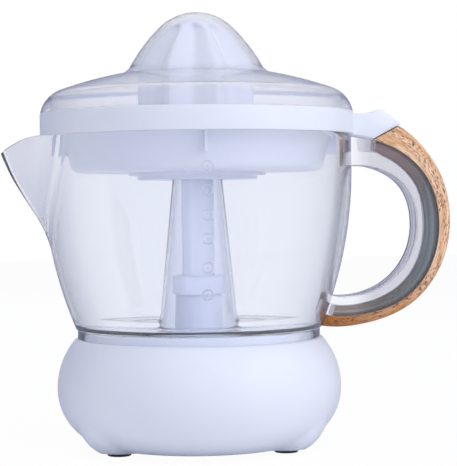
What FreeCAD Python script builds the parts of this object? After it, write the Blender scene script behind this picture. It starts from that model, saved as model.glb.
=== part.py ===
import FreeCAD, Part
import math
import os

os.makedirs("parts", exist_ok=True)

# Electric citrus press: a motor base, a clear jug with a built-in chimney, a strainer,
# a reaming cone and a lid. Millimetres.
# While a piece is modelled the drive axis is at X = 0, Y = 0, the table is at Z = 0,
# the handle points to +X, the spout to -X and the front is -Y.

# Clearances
running_gap = 0.06
fit_gap = 0.3
play_gap = 0.6
overcut = 1.0

# Base housing
base_radius = 76.4
base_wide_height = 33.0
base_underside = 2.0
base_wall = 2.4
ledge_overhang = 0.4
ledge_height = 59.6
plate_radius = 43.6
plate_thickness = 2.4
lobe_radius = 29.3
lobe_inset = 30.4
lobe_height = 28.0
foot_angles = (-150.0, -30.0, 90.0)
foot_radius = 6.7
foot_offset = 4.8
foot_taper = 0.6
foot_peg_radius = 2.4
foot_peg_length = 2.2
tower_radius = 12.3
tower_foot_radius = 13.2
tower_top = 87.0
bush_radius = 7.4
bush_length = 8.0
plate_boss_places = ((-31.6, -22.1), (31.6, -22.1), (-37.0, 14.0))
plate_boss_radius = 4.0
vent_count = 5
vent_length = 16.0
vent_width = 2.0
vent_pitch = 5.0
vent_middle = (16.0, 16.0)
screw_radius = 1.5
screw_head_radius = 2.7
screw_head_height = 1.6
plate_screw_bite = 13.0
gear_screw_bite = 8.0
grommet_bore_radius = 3.3
grommet_neck_radius = 5.2
grommet_flange_radius = 7.4
grommet_flange_thickness = 2.0

# Gear train and its two plates
tray_bottom = 30.0
tray_thickness = 2.0
bridge_bottom = 50.0
bridge_thickness = 2.0
post_radius = 3.5
post_places = ((-20.0, -20.0), (23.0, -15.0), (40.0, 27.5), (-21.5, 30.0))
tray_apex = (13.0, 46.0)
plate_margin = 6.0
pressure_angle = 25.0
addendum = 0.8
dedendum = 1.08
backlash = 0.07
motor_module = 0.6
motor_pinion_teeth = 10
idler_wheel_teeth = 56
drive_module = 0.8
idler_pinion_teeth = 10
output_teeth = 54
idler_wheel_bottom = 34.0
idler_wheel_face = 4.0
output_gear_bottom = 40.0
output_gear_face = 7.0
output_hub_radius = 7.2
output_journal_radius = 6.2
idler_pin_radius = 2.0
idler_boss_radius = 4.2
pinion_overhang = 1.0

# Motor
rotor_place = (13.0, 33.0)
core_bottom = 11.0
core_thickness = 14.0
core_width = 30.0
core_leg = 9.0
core_length = 52.0
core_pole_length = 26.0
magnet_radius = 9.0
air_gap = 0.8
rotor_shaft_radius = 1.5
rotor_shaft_bottom = 6.4
bobbin_wall = 1.0
bobbin_length = 16.0
winding_depth = 2.8
bobbin_flange = 1.2
bracket_thickness = 1.5
bracket_gap = 1.5
bracket_width = 8.0
motor_screw_offset = (8.5, 11.5)

# Drive line, thrust pusher, spring and switch
shaft_radius = 3.9
shaft_bottom = 16.0
shaft_hex = 8.0
shaft_hex_bottom = 26.0
shaft_hex_top = 58.0
shaft_end_hex = 6.6
shaft_reach = 25.0
press_stroke = 2.5
pusher_flange_radius = 9.0
pusher_flange_thickness = 2.5
pusher_cup_radius = 6.6
pusher_cup_depth = 3.2
pusher_floor = 3.0
pusher_sleeve_radius = 5.2
pusher_sleeve_length = 5.6
guide_post_radius = 3.2
guide_post_height = 6.0
spring_wire = 1.0
spring_turns = 4
spring_radius = 6.6
switch_length = 16.0
switch_width = 7.0
switch_top = 10.2
switch_start = 9.6
plunger_radius = 1.5
plunger_length = 4.5
plunger_reach = 12.5
pusher_arm_length = 15.0
pusher_arm_width = 6.0
spindle_radius = 8.8
spindle_skirt_wall = 1.2
spindle_skirt_overlap = 4.0
spindle_collar_height = 9.6
spindle_shoulder_drop = 6.0
spindle_hex = 12.0
spindle_hex_length = 24.0

# Jug
jug_wall = 2.4
jug_rim_radius = 83.0
jug_rim_height = 168.0
jug_straight_length = 18.0
jug_foot_radius = 66.0
jug_skirt_height = 5.4
jug_skirt_step = 0.8
jug_skirt_wall = 3.0
jug_floor_lift = 2.2
jug_floor_thickness = 2.6
chimney_drop = 12.0
chimney_top_radius = 12.3
chimney_foot_radius = 20.4
chimney_flare_height = 8.0
chimney_flare = 4.0
chimney_flare_bend = (0.3, 0.4)
chimney_wall = 1.8
# Sections of the beak: height over the rim, reach past the wall there, half its angle
spout_stations = ((4.0, 27.0, 28.0), (-18.0, 18.2, 23.0), (-34.0, 9.6, 16.0), (-47.0, 2.3, 8.0),
                  (-56.0, -0.9, 2.0))
spout_nose_radius = 5.0
# Pouring edge: reach past the rim's radius, drop below the rim
spout_lip = ((1.0, 0.0), (7.3, 1.1), (14.0, 3.8), (22.0, 8.4), (29.0, 13.4))

# Handle: radii from the handle's own centre at each station angle, from the top root to the bottom root.
# They are drawn for one height of jug, foot to rim, and follow it when the jug gets taller or lower.
handle_drawn_height = 103.0
handle_inset = 4.0
handle_drop = 48.0
handle_stations = (60.0, 30.0, 0.0, -45.0, -78.0, -104.0)
drawn_opening = (34.2, 38.0, 38.4, 39.1, 39.1, 39.6)
drawn_channel = (41.3, 43.4, 44.3, 45.0, 43.6, 44.0)
drawn_seat = (48.2, 51.0, 52.4, 53.6, 50.2, 50.2)
drawn_grip = (60.8, 59.8, 58.5, 58.4, 56.0, 57.0)
handle_width = 22.0
channel_wall = 2.4
grip_round = 3.0
root_drop = 17.0
root_floor = 7.6
root_depth = 7.4
grip_tip_reach = 11.8
grip_tip_drop = 3.0
insert_setback = 0.8

# Strainer
ring_overhang = 1.2
ring_wall = 2.4
ring_height = 12.3
basket_wall = 2.0
basket_gap = 9.0
basket_taper = 4.2
basket_depth = 19.5
basket_round = 4.6
well_radius = 37.0
well_step = 1.9
sump_radius = 32.4
sump_step = 2.2
collar_wall = 2.0
collar_rise = 4.0
slot_count = 36
slot_width = 1.8
slot_inner_radius = 40.5
slot_margin = 7.9
fin_count = 4
fin_gap = 4.2
fin_thickness = 1.8
fin_depth = 10.5
tab_width = 24.0
# Points of the tab's top: reach past the ring, height over the ring's top
tab_dip = (5.4, -1.3)
tab_peak = (15.2, 0.7)
tab_overhang = 0.2

# Lid
lid_wall = 1.8
lid_edge_round = 16.0
lid_edge_drop = 2.8
lid_crown_rise = 24.95
dome_root_radius = 36.3
dome_root_drop = 1.05
dome_foot_step = 3.3
dome_cap_radius = 28.0
dome_rise = 29.15
lid_lip_height = 3.2
lid_lip_wall = 1.8

# Reaming cone
cone_ribs = 8
cone_rib_turn = 15.7
cone_rib_land = 4.0
cone_gap = 1.6
cone_lift = 1.3
cone_flute_depth = 3.9
cone_skirt_flute_depth = 1.2
cone_cap_angles = (85.0, 65.0)
cone_flank_shares = (0.0, 0.33, 0.66, 1.0)
cone_wall = 3.0
cone_bore_drop = 36.4
cone_roof_radius = 13.0
cone_roof_drop = 22.4
cone_hub_radius = 12.0
cone_socket_room = 6.0

# Sizes that follow from the ones above
lobe_distance = base_radius - lobe_inset
foot_distance = lobe_distance + foot_offset
jug_foot_height = ledge_height + jug_skirt_height
jug_skirt_radius = jug_foot_radius - jug_skirt_step
jug_floor_underside = jug_foot_height + jug_floor_lift
jug_straight_height = jug_rim_height - jug_straight_length
ledge_radius = jug_foot_radius + ledge_overhang
chimney_top = jug_rim_height - chimney_drop
shaft_top = tower_top + shaft_reach
spindle_collar_radius = tower_radius + play_gap + spindle_skirt_wall
spindle_collar_bottom = tower_top - spindle_skirt_overlap
spindle_collar_top = spindle_collar_bottom + spindle_collar_height
spindle_shoulder = jug_rim_height - spindle_shoulder_drop
spindle_top = spindle_shoulder + spindle_hex_length
seat_radius = jug_skirt_radius - jug_skirt_wall - fit_gap
seat_height = jug_floor_underside - play_gap
plate_top = base_underside + plate_thickness
tray_top = tray_bottom + tray_thickness
bridge_top = bridge_bottom + bridge_thickness
deck_underside = seat_height - base_wall
core_top = core_bottom + core_thickness
pusher_top = shaft_bottom + pusher_cup_depth
pusher_flange_top = shaft_bottom - pusher_floor + pusher_flange_thickness
pusher_flange_bottom = shaft_bottom - pusher_floor
jug_floor_top = jug_floor_underside + jug_floor_thickness
ring_bottom = jug_rim_height
ring_top = ring_bottom + ring_height
ring_radius = jug_rim_radius + ring_overhang
basket_top_radius = jug_rim_radius - jug_wall - basket_gap
basket_foot_radius = basket_top_radius - basket_taper
basket_underside = ring_bottom - basket_depth
basket_floor_top = basket_underside + basket_wall
well_underside = basket_underside - well_step
sump_underside = well_underside - sump_step
collar_top = chimney_top + collar_rise
slot_outer_radius = basket_foot_radius - slot_margin
fin_radius = jug_rim_radius - jug_wall - fin_gap
fin_bottom = ring_bottom - fin_depth
handle_scale = (jug_rim_height - jug_foot_height) / handle_drawn_height
handle_centre = (jug_rim_radius - handle_inset, jug_rim_height - handle_drop * handle_scale)
opening_radii = [handle_scale * radius for radius in drawn_opening]
channel_radii = [handle_scale * radius for radius in drawn_channel]
seat_radii = [handle_scale * radius for radius in drawn_seat]
grip_radii = [handle_scale * radius for radius in drawn_grip]
root_opening_height = jug_rim_height - root_drop * handle_scale
root_channel_height = root_opening_height + root_floor * handle_scale
root_seat_height = root_channel_height + root_depth * handle_scale
grip_tip = (jug_rim_radius + grip_tip_reach * handle_scale, jug_rim_height - grip_tip_drop * handle_scale)
insert_start = grip_tip[0] + insert_setback
lid_edge_centre = (ring_radius - lid_edge_round, ring_top - lid_edge_drop)
lid_crown_height = ring_top + lid_crown_rise
dome_root = (dome_root_radius, lid_crown_height - dome_root_drop)
dome_foot_radius = dome_root_radius + dome_foot_step
dome_top = lid_crown_height + dome_rise
cone_bore_radius = dome_root_radius - lid_wall - cone_gap - cone_flute_depth - cone_wall
cone_bore_top = dome_top - cone_bore_drop
cone_roof_height = dome_top - cone_roof_drop
cone_socket_top = spindle_top + cone_socket_room
stage_one_distance = motor_module * (motor_pinion_teeth + idler_wheel_teeth) / 2
stage_two_distance = drive_module * (idler_pinion_teeth + output_teeth) / 2
axis = FreeCAD.Vector(0, 0, 1)
origin = FreeCAD.Vector(0, 0, 0)


def cylinder(radius, bottom, top, place=(0.0, 0.0)):
    return Part.makeCylinder(radius, top - bottom, FreeCAD.Vector(place[0], place[1], bottom))


def drill(radius, bottom, top, place=(0.0, 0.0)):
    """Cutter for a hole from bottom to top, run past both ends."""
    return cylinder(radius, bottom - overcut, top + overcut, place)


def tube(outer, inner, bottom, top, place=(0.0, 0.0)):
    return cylinder(outer, bottom, top, place).cut(drill(inner, bottom, top, place))


def block(low, high):
    size = [high[i] - low[i] for i in range(3)]
    return Part.makeBox(size[0], size[1], size[2], FreeCAD.Vector(*low))


def hexagon(across_flats, bottom, top):
    corner = across_flats / math.sqrt(3)
    points = [polar(corner, 60 * i, bottom) for i in range(7)]
    return Part.Face(Part.makePolygon(points)).extrude(axis * (top - bottom))


def polar(radius, degrees, height=0.0):
    angle = math.radians(degrees)
    return FreeCAD.Vector(radius * math.cos(angle), radius * math.sin(angle), height)


def on_circle(centre, radius, degrees):
    angle = math.radians(degrees)
    return (centre[0] + radius * math.cos(angle), centre[1] + radius * math.sin(angle))


def upright(point):
    return FreeCAD.Vector(point[0], 0, point[1])


def outline(stops):
    """Closed face in the XZ plane; a stop is (x, z), or a pair (through, end) for an arc."""
    edges = []
    here = stops[0]
    for stop in stops[1:] + [stops[0]]:
        if isinstance(stop[0], tuple):
            through, end = stop
            edges.append(Part.Arc(upright(here), upright(through), upright(end)).toShape())
        else:
            end = stop
            edges.append(Part.LineSegment(upright(here), upright(end)).toShape())
        here = end
    return Part.Face(Part.Wire(edges))


def spin(stops):
    return outline(stops).revolve(origin, axis, 360)


def turned(shape, degrees):
    copy = shape.copy()
    copy.rotate(origin, axis, degrees)
    return copy


def joined(shapes):
    return shapes[0].fuse(shapes[1:]).removeSplitter() if len(shapes) > 1 else shapes[0]


def smooth(points):
    curve = Part.BSplineCurve()
    curve.interpolate([upright(point) for point in points])
    return curve.toShape()


def across(face, width):
    face.translate(FreeCAD.Vector(0, -width / 2, 0))
    return face.extrude(FreeCAD.Vector(0, width, 0))


def rounded_plate(corners, bottom, thickness):
    points = [FreeCAD.Vector(x, y, bottom) for x, y in corners]
    flat = Part.Face(Part.makePolygon(points + points[:1]))
    return flat.makeOffset2D(plate_margin).extrude(axis * thickness)


def idler_place():
    """The idler stands where both its meshes have their centre distance."""
    reach = math.hypot(*rotor_place)
    along = (stage_two_distance ** 2 - stage_one_distance ** 2 + reach ** 2) / (2 * reach)
    aside = math.sqrt(stage_two_distance ** 2 - along ** 2)
    ux, uy = rotor_place[0] / reach, rotor_place[1] / reach
    return (along * ux + aside * uy, along * uy - aside * ux)


def bearing(start, end):
    return math.degrees(math.atan2(end[1] - start[1], end[0] - start[0]))


def gear(module, teeth, bottom, top, tooth_at):
    """Involute spur gear on the Z axis with one tooth centred at the given angle."""
    pitch = module * teeth / 2
    base = pitch * math.cos(math.radians(pressure_angle))
    tip = pitch + addendum * module
    root = pitch - dedendum * module
    start = max(root, base)

    def half_angle(radius):
        turn = math.acos(min(1.0, base / radius))
        lead = math.radians(pressure_angle)
        spread = math.tan(lead) - lead - (math.tan(turn) - turn)
        return math.degrees((math.pi / 2 - backlash) / teeth + spread)

    edges = []
    for i in range(teeth):
        middle = tooth_at + 360 * i / teeth
        flank = [polar(r, middle - half_angle(r), bottom) for r in (start, (start + tip) / 2, tip)]
        back = [polar(r, middle + half_angle(r), bottom) for r in (tip, (start + tip) / 2, start)]
        foot = polar(root, middle - half_angle(start), bottom)
        heel = polar(root, middle + half_angle(start), bottom)
        following = polar(root, middle + 360 / teeth - half_angle(start), bottom)
        if root < start:
            edges.append(Part.LineSegment(foot, flank[0]).toShape())
        edges.append(Part.Arc(*flank).toShape())
        edges.append(Part.Arc(flank[2], polar(tip, middle, bottom), back[0]).toShape())
        edges.append(Part.Arc(*back).toShape())
        if root < start:
            edges.append(Part.LineSegment(back[2], heel).toShape())
        valley = polar(root, middle + 180 / teeth, bottom)
        edges.append(Part.Arc(heel, valley, following).toShape())
    return Part.Face(Part.Wire(edges)).extrude(axis * (top - bottom))


def housing_profile(inset):
    """The base body's bowl, drawn inwards by the inset on every side."""
    belly = base_wide_height - base_underside
    low_centre = (base_radius - belly, base_wide_height)
    rise = ledge_height - base_wide_height
    draw_in = base_radius - ledge_radius
    crown = (rise ** 2 + draw_in ** 2) / (2 * draw_in)
    high_centre = (base_radius - crown, base_wide_height)
    ledge = ledge_height - inset
    top_angle = math.degrees(math.asin((ledge - base_wide_height) / (crown - inset)))
    return [
        (0.0, base_underside + inset),
        (low_centre[0], base_underside + inset),
        (on_circle(low_centre, belly - inset, -45), (base_radius - inset, base_wide_height)),
        (on_circle(high_centre, crown - inset, top_angle / 2),
         on_circle(high_centre, crown - inset, top_angle)),
        (seat_radius - inset, ledge),
        (seat_radius - inset, seat_height - inset),
        (0.0, seat_height - inset),
    ]


def base_housing():
    body = spin(housing_profile(0.0))
    for angle in foot_angles:
        ball = Part.makeSphere(lobe_radius, polar(lobe_distance, angle, lobe_height))
        reach = 2 * lobe_radius
        middle = polar(lobe_distance, angle)
        body = body.fuse(ball.common(cylinder(reach, base_underside, lobe_height, (middle.x, middle.y))))
    body = body.cut(spin(housing_profile(base_wall)))
    body = body.cut(drill(plate_radius + fit_gap, base_underside, plate_top))
    tower_height = tower_top - seat_height
    body = body.fuse(Part.makeCone(tower_foot_radius, tower_radius, tower_height, polar(0, 0, seat_height)))
    for place in plate_boss_places:
        body = body.fuse(cylinder(plate_boss_radius, plate_top, deck_underside + overcut, place))
    for place in post_places:
        body = body.fuse(cylinder(post_radius, bridge_top, deck_underside + overcut, place))
    body = body.cut(drill(bush_radius, deck_underside, tower_top))
    for angle in foot_angles:
        middle = polar(foot_distance, angle)
        hole = cylinder(foot_peg_radius + running_gap, base_underside - overcut,
                        base_underside + foot_peg_length + fit_gap, (middle.x, middle.y))
        body = body.cut(hole)
    for place in plate_boss_places:
        body = body.cut(drill(screw_radius, plate_top, plate_top + plate_screw_bite, place))
    for place in post_places:
        body = body.cut(drill(screw_radius, bridge_top, bridge_top + gear_screw_bite, place))
    return body.cut(grommet_neck(grommet_neck_radius, base_radius - 4 * base_wall, base_radius + overcut))


def grommet_neck(radius, start, end):
    return Part.makeCylinder(radius, end - start, FreeCAD.Vector(0, start, base_wide_height),
                             FreeCAD.Vector(0, 1, 0))


def cord_grommet():
    outer_start = base_radius + running_gap
    outer_end = outer_start + grommet_flange_thickness
    belly = base_wide_height - base_underside
    sag = belly - base_wall - math.sqrt((belly - base_wall) ** 2 - grommet_flange_radius ** 2)
    inner_wall = base_radius - base_wall - sag
    inner_end = math.sqrt(inner_wall ** 2 - grommet_flange_radius ** 2) - fit_gap
    inner_start = inner_end - grommet_flange_thickness
    body = grommet_neck(grommet_neck_radius - running_gap, inner_start, outer_end)
    body = body.fuse([
        grommet_neck(grommet_flange_radius, outer_start, outer_end),
        grommet_neck(grommet_flange_radius, inner_start, inner_end),
    ])
    return body.cut(grommet_neck(grommet_bore_radius, inner_start - overcut, outer_end + overcut))


def base_plate():
    body = cylinder(plate_radius, base_underside, plate_top)
    body = body.fuse(cylinder(guide_post_radius, plate_top, plate_top + guide_post_height))
    for place in plate_boss_places:
        body = body.cut(drill(screw_radius + running_gap, base_underside, plate_top, place))
        body = body.cut(cylinder(screw_head_radius + fit_gap, base_underside - overcut,
                                 base_underside + screw_head_height, place))
    for i in range(vent_count):
        y = (i - (vent_count - 1) / 2) * vent_pitch + vent_middle[1]
        for x in (-vent_middle[0], vent_middle[0]):
            low = (x - vent_length / 2, y - vent_width / 2, base_underside - overcut)
            high = (x + vent_length / 2, y + vent_width / 2, plate_top + overcut)
            body = body.cut(block(low, high))
    return body


def base_foot(angle):
    middle = polar(foot_distance, angle)
    place = (middle.x, middle.y)
    pad = Part.makeCone(foot_radius - foot_taper, foot_radius, base_underside, middle)
    peg = cylinder(foot_peg_radius, base_underside, base_underside + foot_peg_length, place)
    return pad.fuse(peg)


def screw(place, head_bottom, tip):
    head = cylinder(screw_head_radius, head_bottom, head_bottom + screw_head_height, place)
    return head.fuse(cylinder(screw_radius - running_gap, head_bottom + screw_head_height, tip, place))


def plate_screws():
    tip = plate_top + plate_screw_bite
    return Part.Compound([screw(place, base_underside, tip) for place in plate_boss_places])


def gear_screws():
    tip = bridge_top + gear_screw_bite
    head = tray_bottom - screw_head_height
    return Part.Compound([screw(place, head, tip) for place in post_places])


def gear_tray():
    corners = post_places[:3] + (tray_apex,) + post_places[3:]
    body = rounded_plate(corners, tray_bottom, tray_thickness)
    for place in post_places:
        body = body.fuse(cylinder(post_radius, tray_top, bridge_bottom, place))
    for place in motor_screw_places():
        body = body.fuse(cylinder(post_radius, bracket_top_height(), tray_bottom, place))
        body = body.cut(drill(screw_radius, bracket_top_height(), tray_top, place))
    for place in post_places:
        body = body.cut(drill(screw_radius + running_gap, tray_bottom, bridge_bottom, place))
    body = body.cut(drill(output_journal_radius + running_gap, tray_bottom, tray_top))
    body = body.cut(drill(rotor_shaft_radius + play_gap, tray_bottom, tray_top, rotor_place))
    return body.cut(drill(idler_pin_radius, tray_bottom, tray_top, idler_place()))


def gear_bridge():
    body = rounded_plate(post_places, bridge_bottom, bridge_thickness)
    for place in post_places:
        body = body.cut(drill(screw_radius + running_gap, bridge_bottom, bridge_top, place))
    body = body.cut(drill(output_journal_radius + running_gap, bridge_bottom, bridge_top))
    return body.cut(drill(idler_pin_radius, bridge_bottom, bridge_top, idler_place()))


def idler_pin():
    return cylinder(idler_pin_radius - running_gap / 2, tray_bottom, bridge_top, idler_place())


def output_gear():
    top = output_gear_bottom + output_gear_face
    wheel = gear(drive_module, output_teeth, output_gear_bottom, top, bearing((0, 0), idler_place()))
    body = joined([
        wheel,
        cylinder(output_hub_radius, tray_top + fit_gap, bridge_bottom - fit_gap),
        cylinder(output_journal_radius, tray_bottom, bridge_top),
    ])
    return body.cut(hexagon(shaft_hex + 2 * running_gap, tray_bottom - overcut, bridge_top + overcut))


def idler_gear():
    """Large wheel and small pinion in one moulding."""
    wheel_top = idler_wheel_bottom + idler_wheel_face
    pinion_top = output_gear_bottom + output_gear_face + pinion_overhang
    to_rotor = bearing(idler_place(), rotor_place)
    to_drive = bearing(idler_place(), (0, 0))
    wheel = gear(motor_module, idler_wheel_teeth, idler_wheel_bottom, wheel_top, to_rotor)
    tooth_at = to_drive + 180 / idler_pinion_teeth
    pinion = gear(drive_module, idler_pinion_teeth, wheel_top, pinion_top, tooth_at)
    body = joined([wheel, pinion, cylinder(idler_boss_radius, tray_top + fit_gap, idler_wheel_bottom)])
    body = body.cut(cylinder(idler_pin_radius + running_gap / 2, tray_bottom, bridge_top))
    body.translate(FreeCAD.Vector(idler_place()[0], idler_place()[1], 0))
    return body


def rotor_pinion():
    bottom = idler_wheel_bottom - pinion_overhang
    top = idler_wheel_bottom + idler_wheel_face + pinion_overhang
    turn = bearing(rotor_place, idler_place()) + 180 / motor_pinion_teeth
    body = gear(motor_module, motor_pinion_teeth, bottom, top, turn)
    body = body.cut(cylinder(rotor_shaft_radius + running_gap / 2, tray_bottom, bridge_top))
    body.translate(FreeCAD.Vector(rotor_place[0], rotor_place[1], 0))
    return body


def rotor_shaft():
    top = idler_wheel_bottom + idler_wheel_face + 2 * pinion_overhang
    return cylinder(rotor_shaft_radius, rotor_shaft_bottom, top, rotor_place)


def rotor_magnet():
    return tube(magnet_radius, rotor_shaft_radius + running_gap / 2, core_bottom, core_top, rotor_place)


def motor_screw_places():
    dx, dy = motor_screw_offset
    corners = ((-1, -1), (1, -1), (-1, 1), (1, 1))
    return [(rotor_place[0] + sx * dx, rotor_place[1] + sy * dy) for sx, sy in corners]


def core_edges():
    right = rotor_place[0] + core_pole_length / 2
    front = rotor_place[1] - core_width / 2
    return right - core_length, right, front, front + core_width


def stator_core():
    left, right, front, back = core_edges()
    body = block((left, front, core_bottom), (right, back, core_top))
    window_low = (left + core_leg, front + core_leg, core_bottom - overcut)
    window_high = (right - core_pole_length, back - core_leg, core_top + overcut)
    body = body.cut(block(window_low, window_high))
    body = body.cut(drill(magnet_radius + air_gap, core_bottom, core_top, rotor_place))
    for place in motor_screw_places():
        body = body.cut(drill(screw_radius, core_bottom, core_top, place))
    return body


def leg_sleeve(side, grow, start, end, hollow):
    """A square sleeve round one leg of the core, grown outwards from the leg by the given amount."""
    front, back = core_edges()[2:]
    low_y = front if side < 0 else back - core_leg
    outer = block((start, low_y - grow, core_bottom - grow),
                  (end, low_y + core_leg + grow, core_top + grow))
    inner = block((start - overcut, low_y - hollow, core_bottom - hollow),
                  (end + overcut, low_y + core_leg + hollow, core_top + hollow))
    return outer.cut(inner)


def bobbin_span():
    left, right = core_edges()[:2]
    middle = (left + core_leg + right - core_pole_length) / 2
    return middle - bobbin_length / 2, middle + bobbin_length / 2


def bobbin(side):
    start, end = bobbin_span()
    full = bobbin_wall + winding_depth
    return joined([
        leg_sleeve(side, bobbin_wall, start, end, running_gap),
        leg_sleeve(side, full, start, start + bobbin_flange, running_gap),
        leg_sleeve(side, full, end - bobbin_flange, end, running_gap),
    ])


def winding(side):
    start, end = bobbin_span()
    depth = bobbin_wall + winding_depth - fit_gap
    return leg_sleeve(side, depth, start + bobbin_flange + running_gap, end - bobbin_flange - running_gap,
                      bobbin_wall + running_gap)


def bracket_top_height():
    return core_top + bracket_gap + bracket_thickness


def motor_bracket(facing, outer_side):
    """A strip across the rotor that carries one end of its shaft, on four spacers against the core."""
    plate_bottom = min(facing, outer_side)
    plate_end = max(facing, outer_side)
    face_side = core_top if outer_side > facing else core_bottom
    dx, dy = motor_screw_offset
    low = (rotor_place[0] - dx - bracket_width / 2, rotor_place[1] - dy - bracket_width / 2, plate_bottom)
    high = (rotor_place[0] + dx + bracket_width / 2, rotor_place[1] + dy + bracket_width / 2, plate_end)
    body = block(low, high)
    for side in (-1, 1):
        cut_low = (rotor_place[0] + side * dx - bracket_width / 2, rotor_place[1] - dy + bracket_width / 2,
                   plate_bottom - overcut)
        cut_high = (rotor_place[0] + side * dx + bracket_width / 2, rotor_place[1] + dy - bracket_width / 2,
                    plate_end + overcut)
        body = body.cut(block(cut_low, cut_high))
    for place in motor_screw_places():
        spacer = cylinder(post_radius - running_gap, min(face_side, facing), max(face_side, facing), place)
        body = body.fuse(spacer)
    bore_low = min(face_side, plate_bottom) - overcut
    bore_high = max(face_side, plate_end) + overcut
    for place in motor_screw_places():
        body = body.cut(cylinder(screw_radius, bore_low, bore_high, place))
    return body.cut(cylinder(rotor_shaft_radius + running_gap / 2, bore_low, bore_high, rotor_place))


def motor_bracket_top():
    return motor_bracket(core_top + bracket_gap, bracket_top_height())


def motor_bracket_bottom():
    return motor_bracket(core_bottom - bracket_gap, core_bottom - bracket_gap - bracket_thickness)


def motor_screws():
    head = core_bottom - bracket_gap - bracket_thickness - screw_head_height
    return Part.Compound([screw(place, head, tray_top) for place in motor_screw_places()])


def shaft_bush():
    bottom = tower_top - bush_length
    return tube(bush_radius - running_gap / 2, shaft_radius + running_gap, bottom, tower_top)


def drive_shaft():
    """Round shaft with one hexagon in the output gear and one at its top in the spindle."""
    return joined([
        cylinder(shaft_radius, shaft_bottom, tower_top + press_stroke),
        hexagon(shaft_hex, shaft_hex_bottom, shaft_hex_top),
        hexagon(shaft_end_hex, tower_top, shaft_top),
    ])


def switch_pusher():
    """Thrust cup under the shaft, guided on the plate's post, with an arm over the switch."""
    sleeve_bottom = pusher_flange_bottom - pusher_sleeve_length
    arm_low = (0, -pusher_arm_width / 2, pusher_flange_bottom)
    arm_high = (pusher_arm_length, pusher_arm_width / 2, pusher_flange_top)
    body = joined([
        cylinder(pusher_flange_radius, pusher_flange_bottom, pusher_flange_top),
        cylinder(pusher_cup_radius, pusher_flange_bottom, pusher_top),
        cylinder(pusher_sleeve_radius, sleeve_bottom, pusher_flange_bottom),
        block(arm_low, arm_high),
    ])
    body = body.cut(cylinder(shaft_radius + running_gap, shaft_bottom, pusher_top + overcut))
    post_top = plate_top + guide_post_height
    return body.cut(cylinder(guide_post_radius + running_gap, sleeve_bottom - overcut,
                             post_top + press_stroke + fit_gap))


def spring_point(quarters):
    """Point on the wire's middle line after a number of quarter turns."""
    room = pusher_flange_bottom - plate_top - 2 * fit_gap - spring_wire
    start = plate_top + fit_gap + spring_wire / 2
    return polar(spring_radius, 90 * quarters, start + room * quarters / (4 * spring_turns))


def spring_gap():
    """Least gap from the wire to its own next turn, measured on points along it."""
    points = [spring_point(i / 8) for i in range(32 * spring_turns + 1)]
    half_turn = 16
    spans = [a.distanceToPoint(b) for i, a in enumerate(points) for b in points[i + half_turn:]]
    return min(spans) - spring_wire


def return_spring():
    """Round wire on a helix of quarter-turn arcs, between the base plate and the pusher's flange."""
    arcs = []
    for i in range(4 * spring_turns):
        stops = [spring_point(i + share) for share in (0.0, 0.5, 1.0)]
        arcs.append(Part.Arc(*stops).toShape())
    start = arcs[0].FirstParameter
    ring = Part.makeCircle(spring_wire / 2, arcs[0].valueAt(start), arcs[0].tangentAt(start))
    return Part.Wire(arcs).makePipeShell([Part.Wire(ring)], True, False)


def switch_body():
    low = (switch_start, -switch_width / 2, plate_top)
    high = (switch_start + switch_length, switch_width / 2, switch_top)
    pocket_bottom = plunger_bottom() - press_stroke - fit_gap
    pocket = cylinder(plunger_radius + running_gap, pocket_bottom, switch_top + overcut, (plunger_reach, 0))
    return block(low, high).cut(pocket)


def plunger_bottom():
    return pusher_flange_bottom - fit_gap - plunger_length


def switch_plunger():
    return cylinder(plunger_radius, plunger_bottom(), pusher_flange_bottom - fit_gap, (plunger_reach, 0))


def drive_spindle():
    skirt_roof = tower_top + press_stroke + play_gap
    body = joined([
        cylinder(spindle_collar_radius, spindle_collar_bottom, spindle_collar_top),
        cylinder(spindle_radius, spindle_collar_top, spindle_shoulder),
        hexagon(spindle_hex, spindle_shoulder, spindle_top),
    ])
    body = body.cut(cylinder(tower_radius + play_gap, spindle_collar_bottom - overcut, skirt_roof))
    return body.cut(hexagon(shaft_end_hex + running_gap, skirt_roof - overcut, shaft_top + running_gap))


def jug_curve():
    """Centre and radius of the side wall's outer arc, upright where the straight rim starts."""
    drop = jug_straight_height - jug_foot_height
    draw_in = jug_rim_radius - jug_foot_radius
    radius = (drop ** 2 + draw_in ** 2) / (2 * draw_in)
    return (jug_rim_radius - radius, jug_straight_height), radius


def wall_radius(height, inset=0.0):
    centre, radius = jug_curve()
    if height >= jug_straight_height:
        return jug_rim_radius - inset
    return centre[0] + math.sqrt((radius - inset) ** 2 - (height - jug_straight_height) ** 2)


def jug_envelope(grow):
    """Solid of the jug's outer form, grown outwards by a clearance."""
    middle = (jug_straight_height + jug_foot_height) / 2
    return spin([
        (0.0, ledge_height),
        (jug_skirt_radius + grow, ledge_height),
        (jug_skirt_radius + grow, jug_foot_height),
        (jug_foot_radius + grow, jug_foot_height),
        ((wall_radius(middle, -grow), middle), (jug_rim_radius + grow, jug_straight_height)),
        (jug_rim_radius + grow, jug_rim_height),
        (0.0, jug_rim_height),
    ])


def chimney_radius(height):
    flare_top = jug_floor_top + chimney_flare_height
    share = (chimney_top - height) / (chimney_top - flare_top)
    return chimney_top_radius + share * (chimney_foot_radius - chimney_top_radius)


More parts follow.
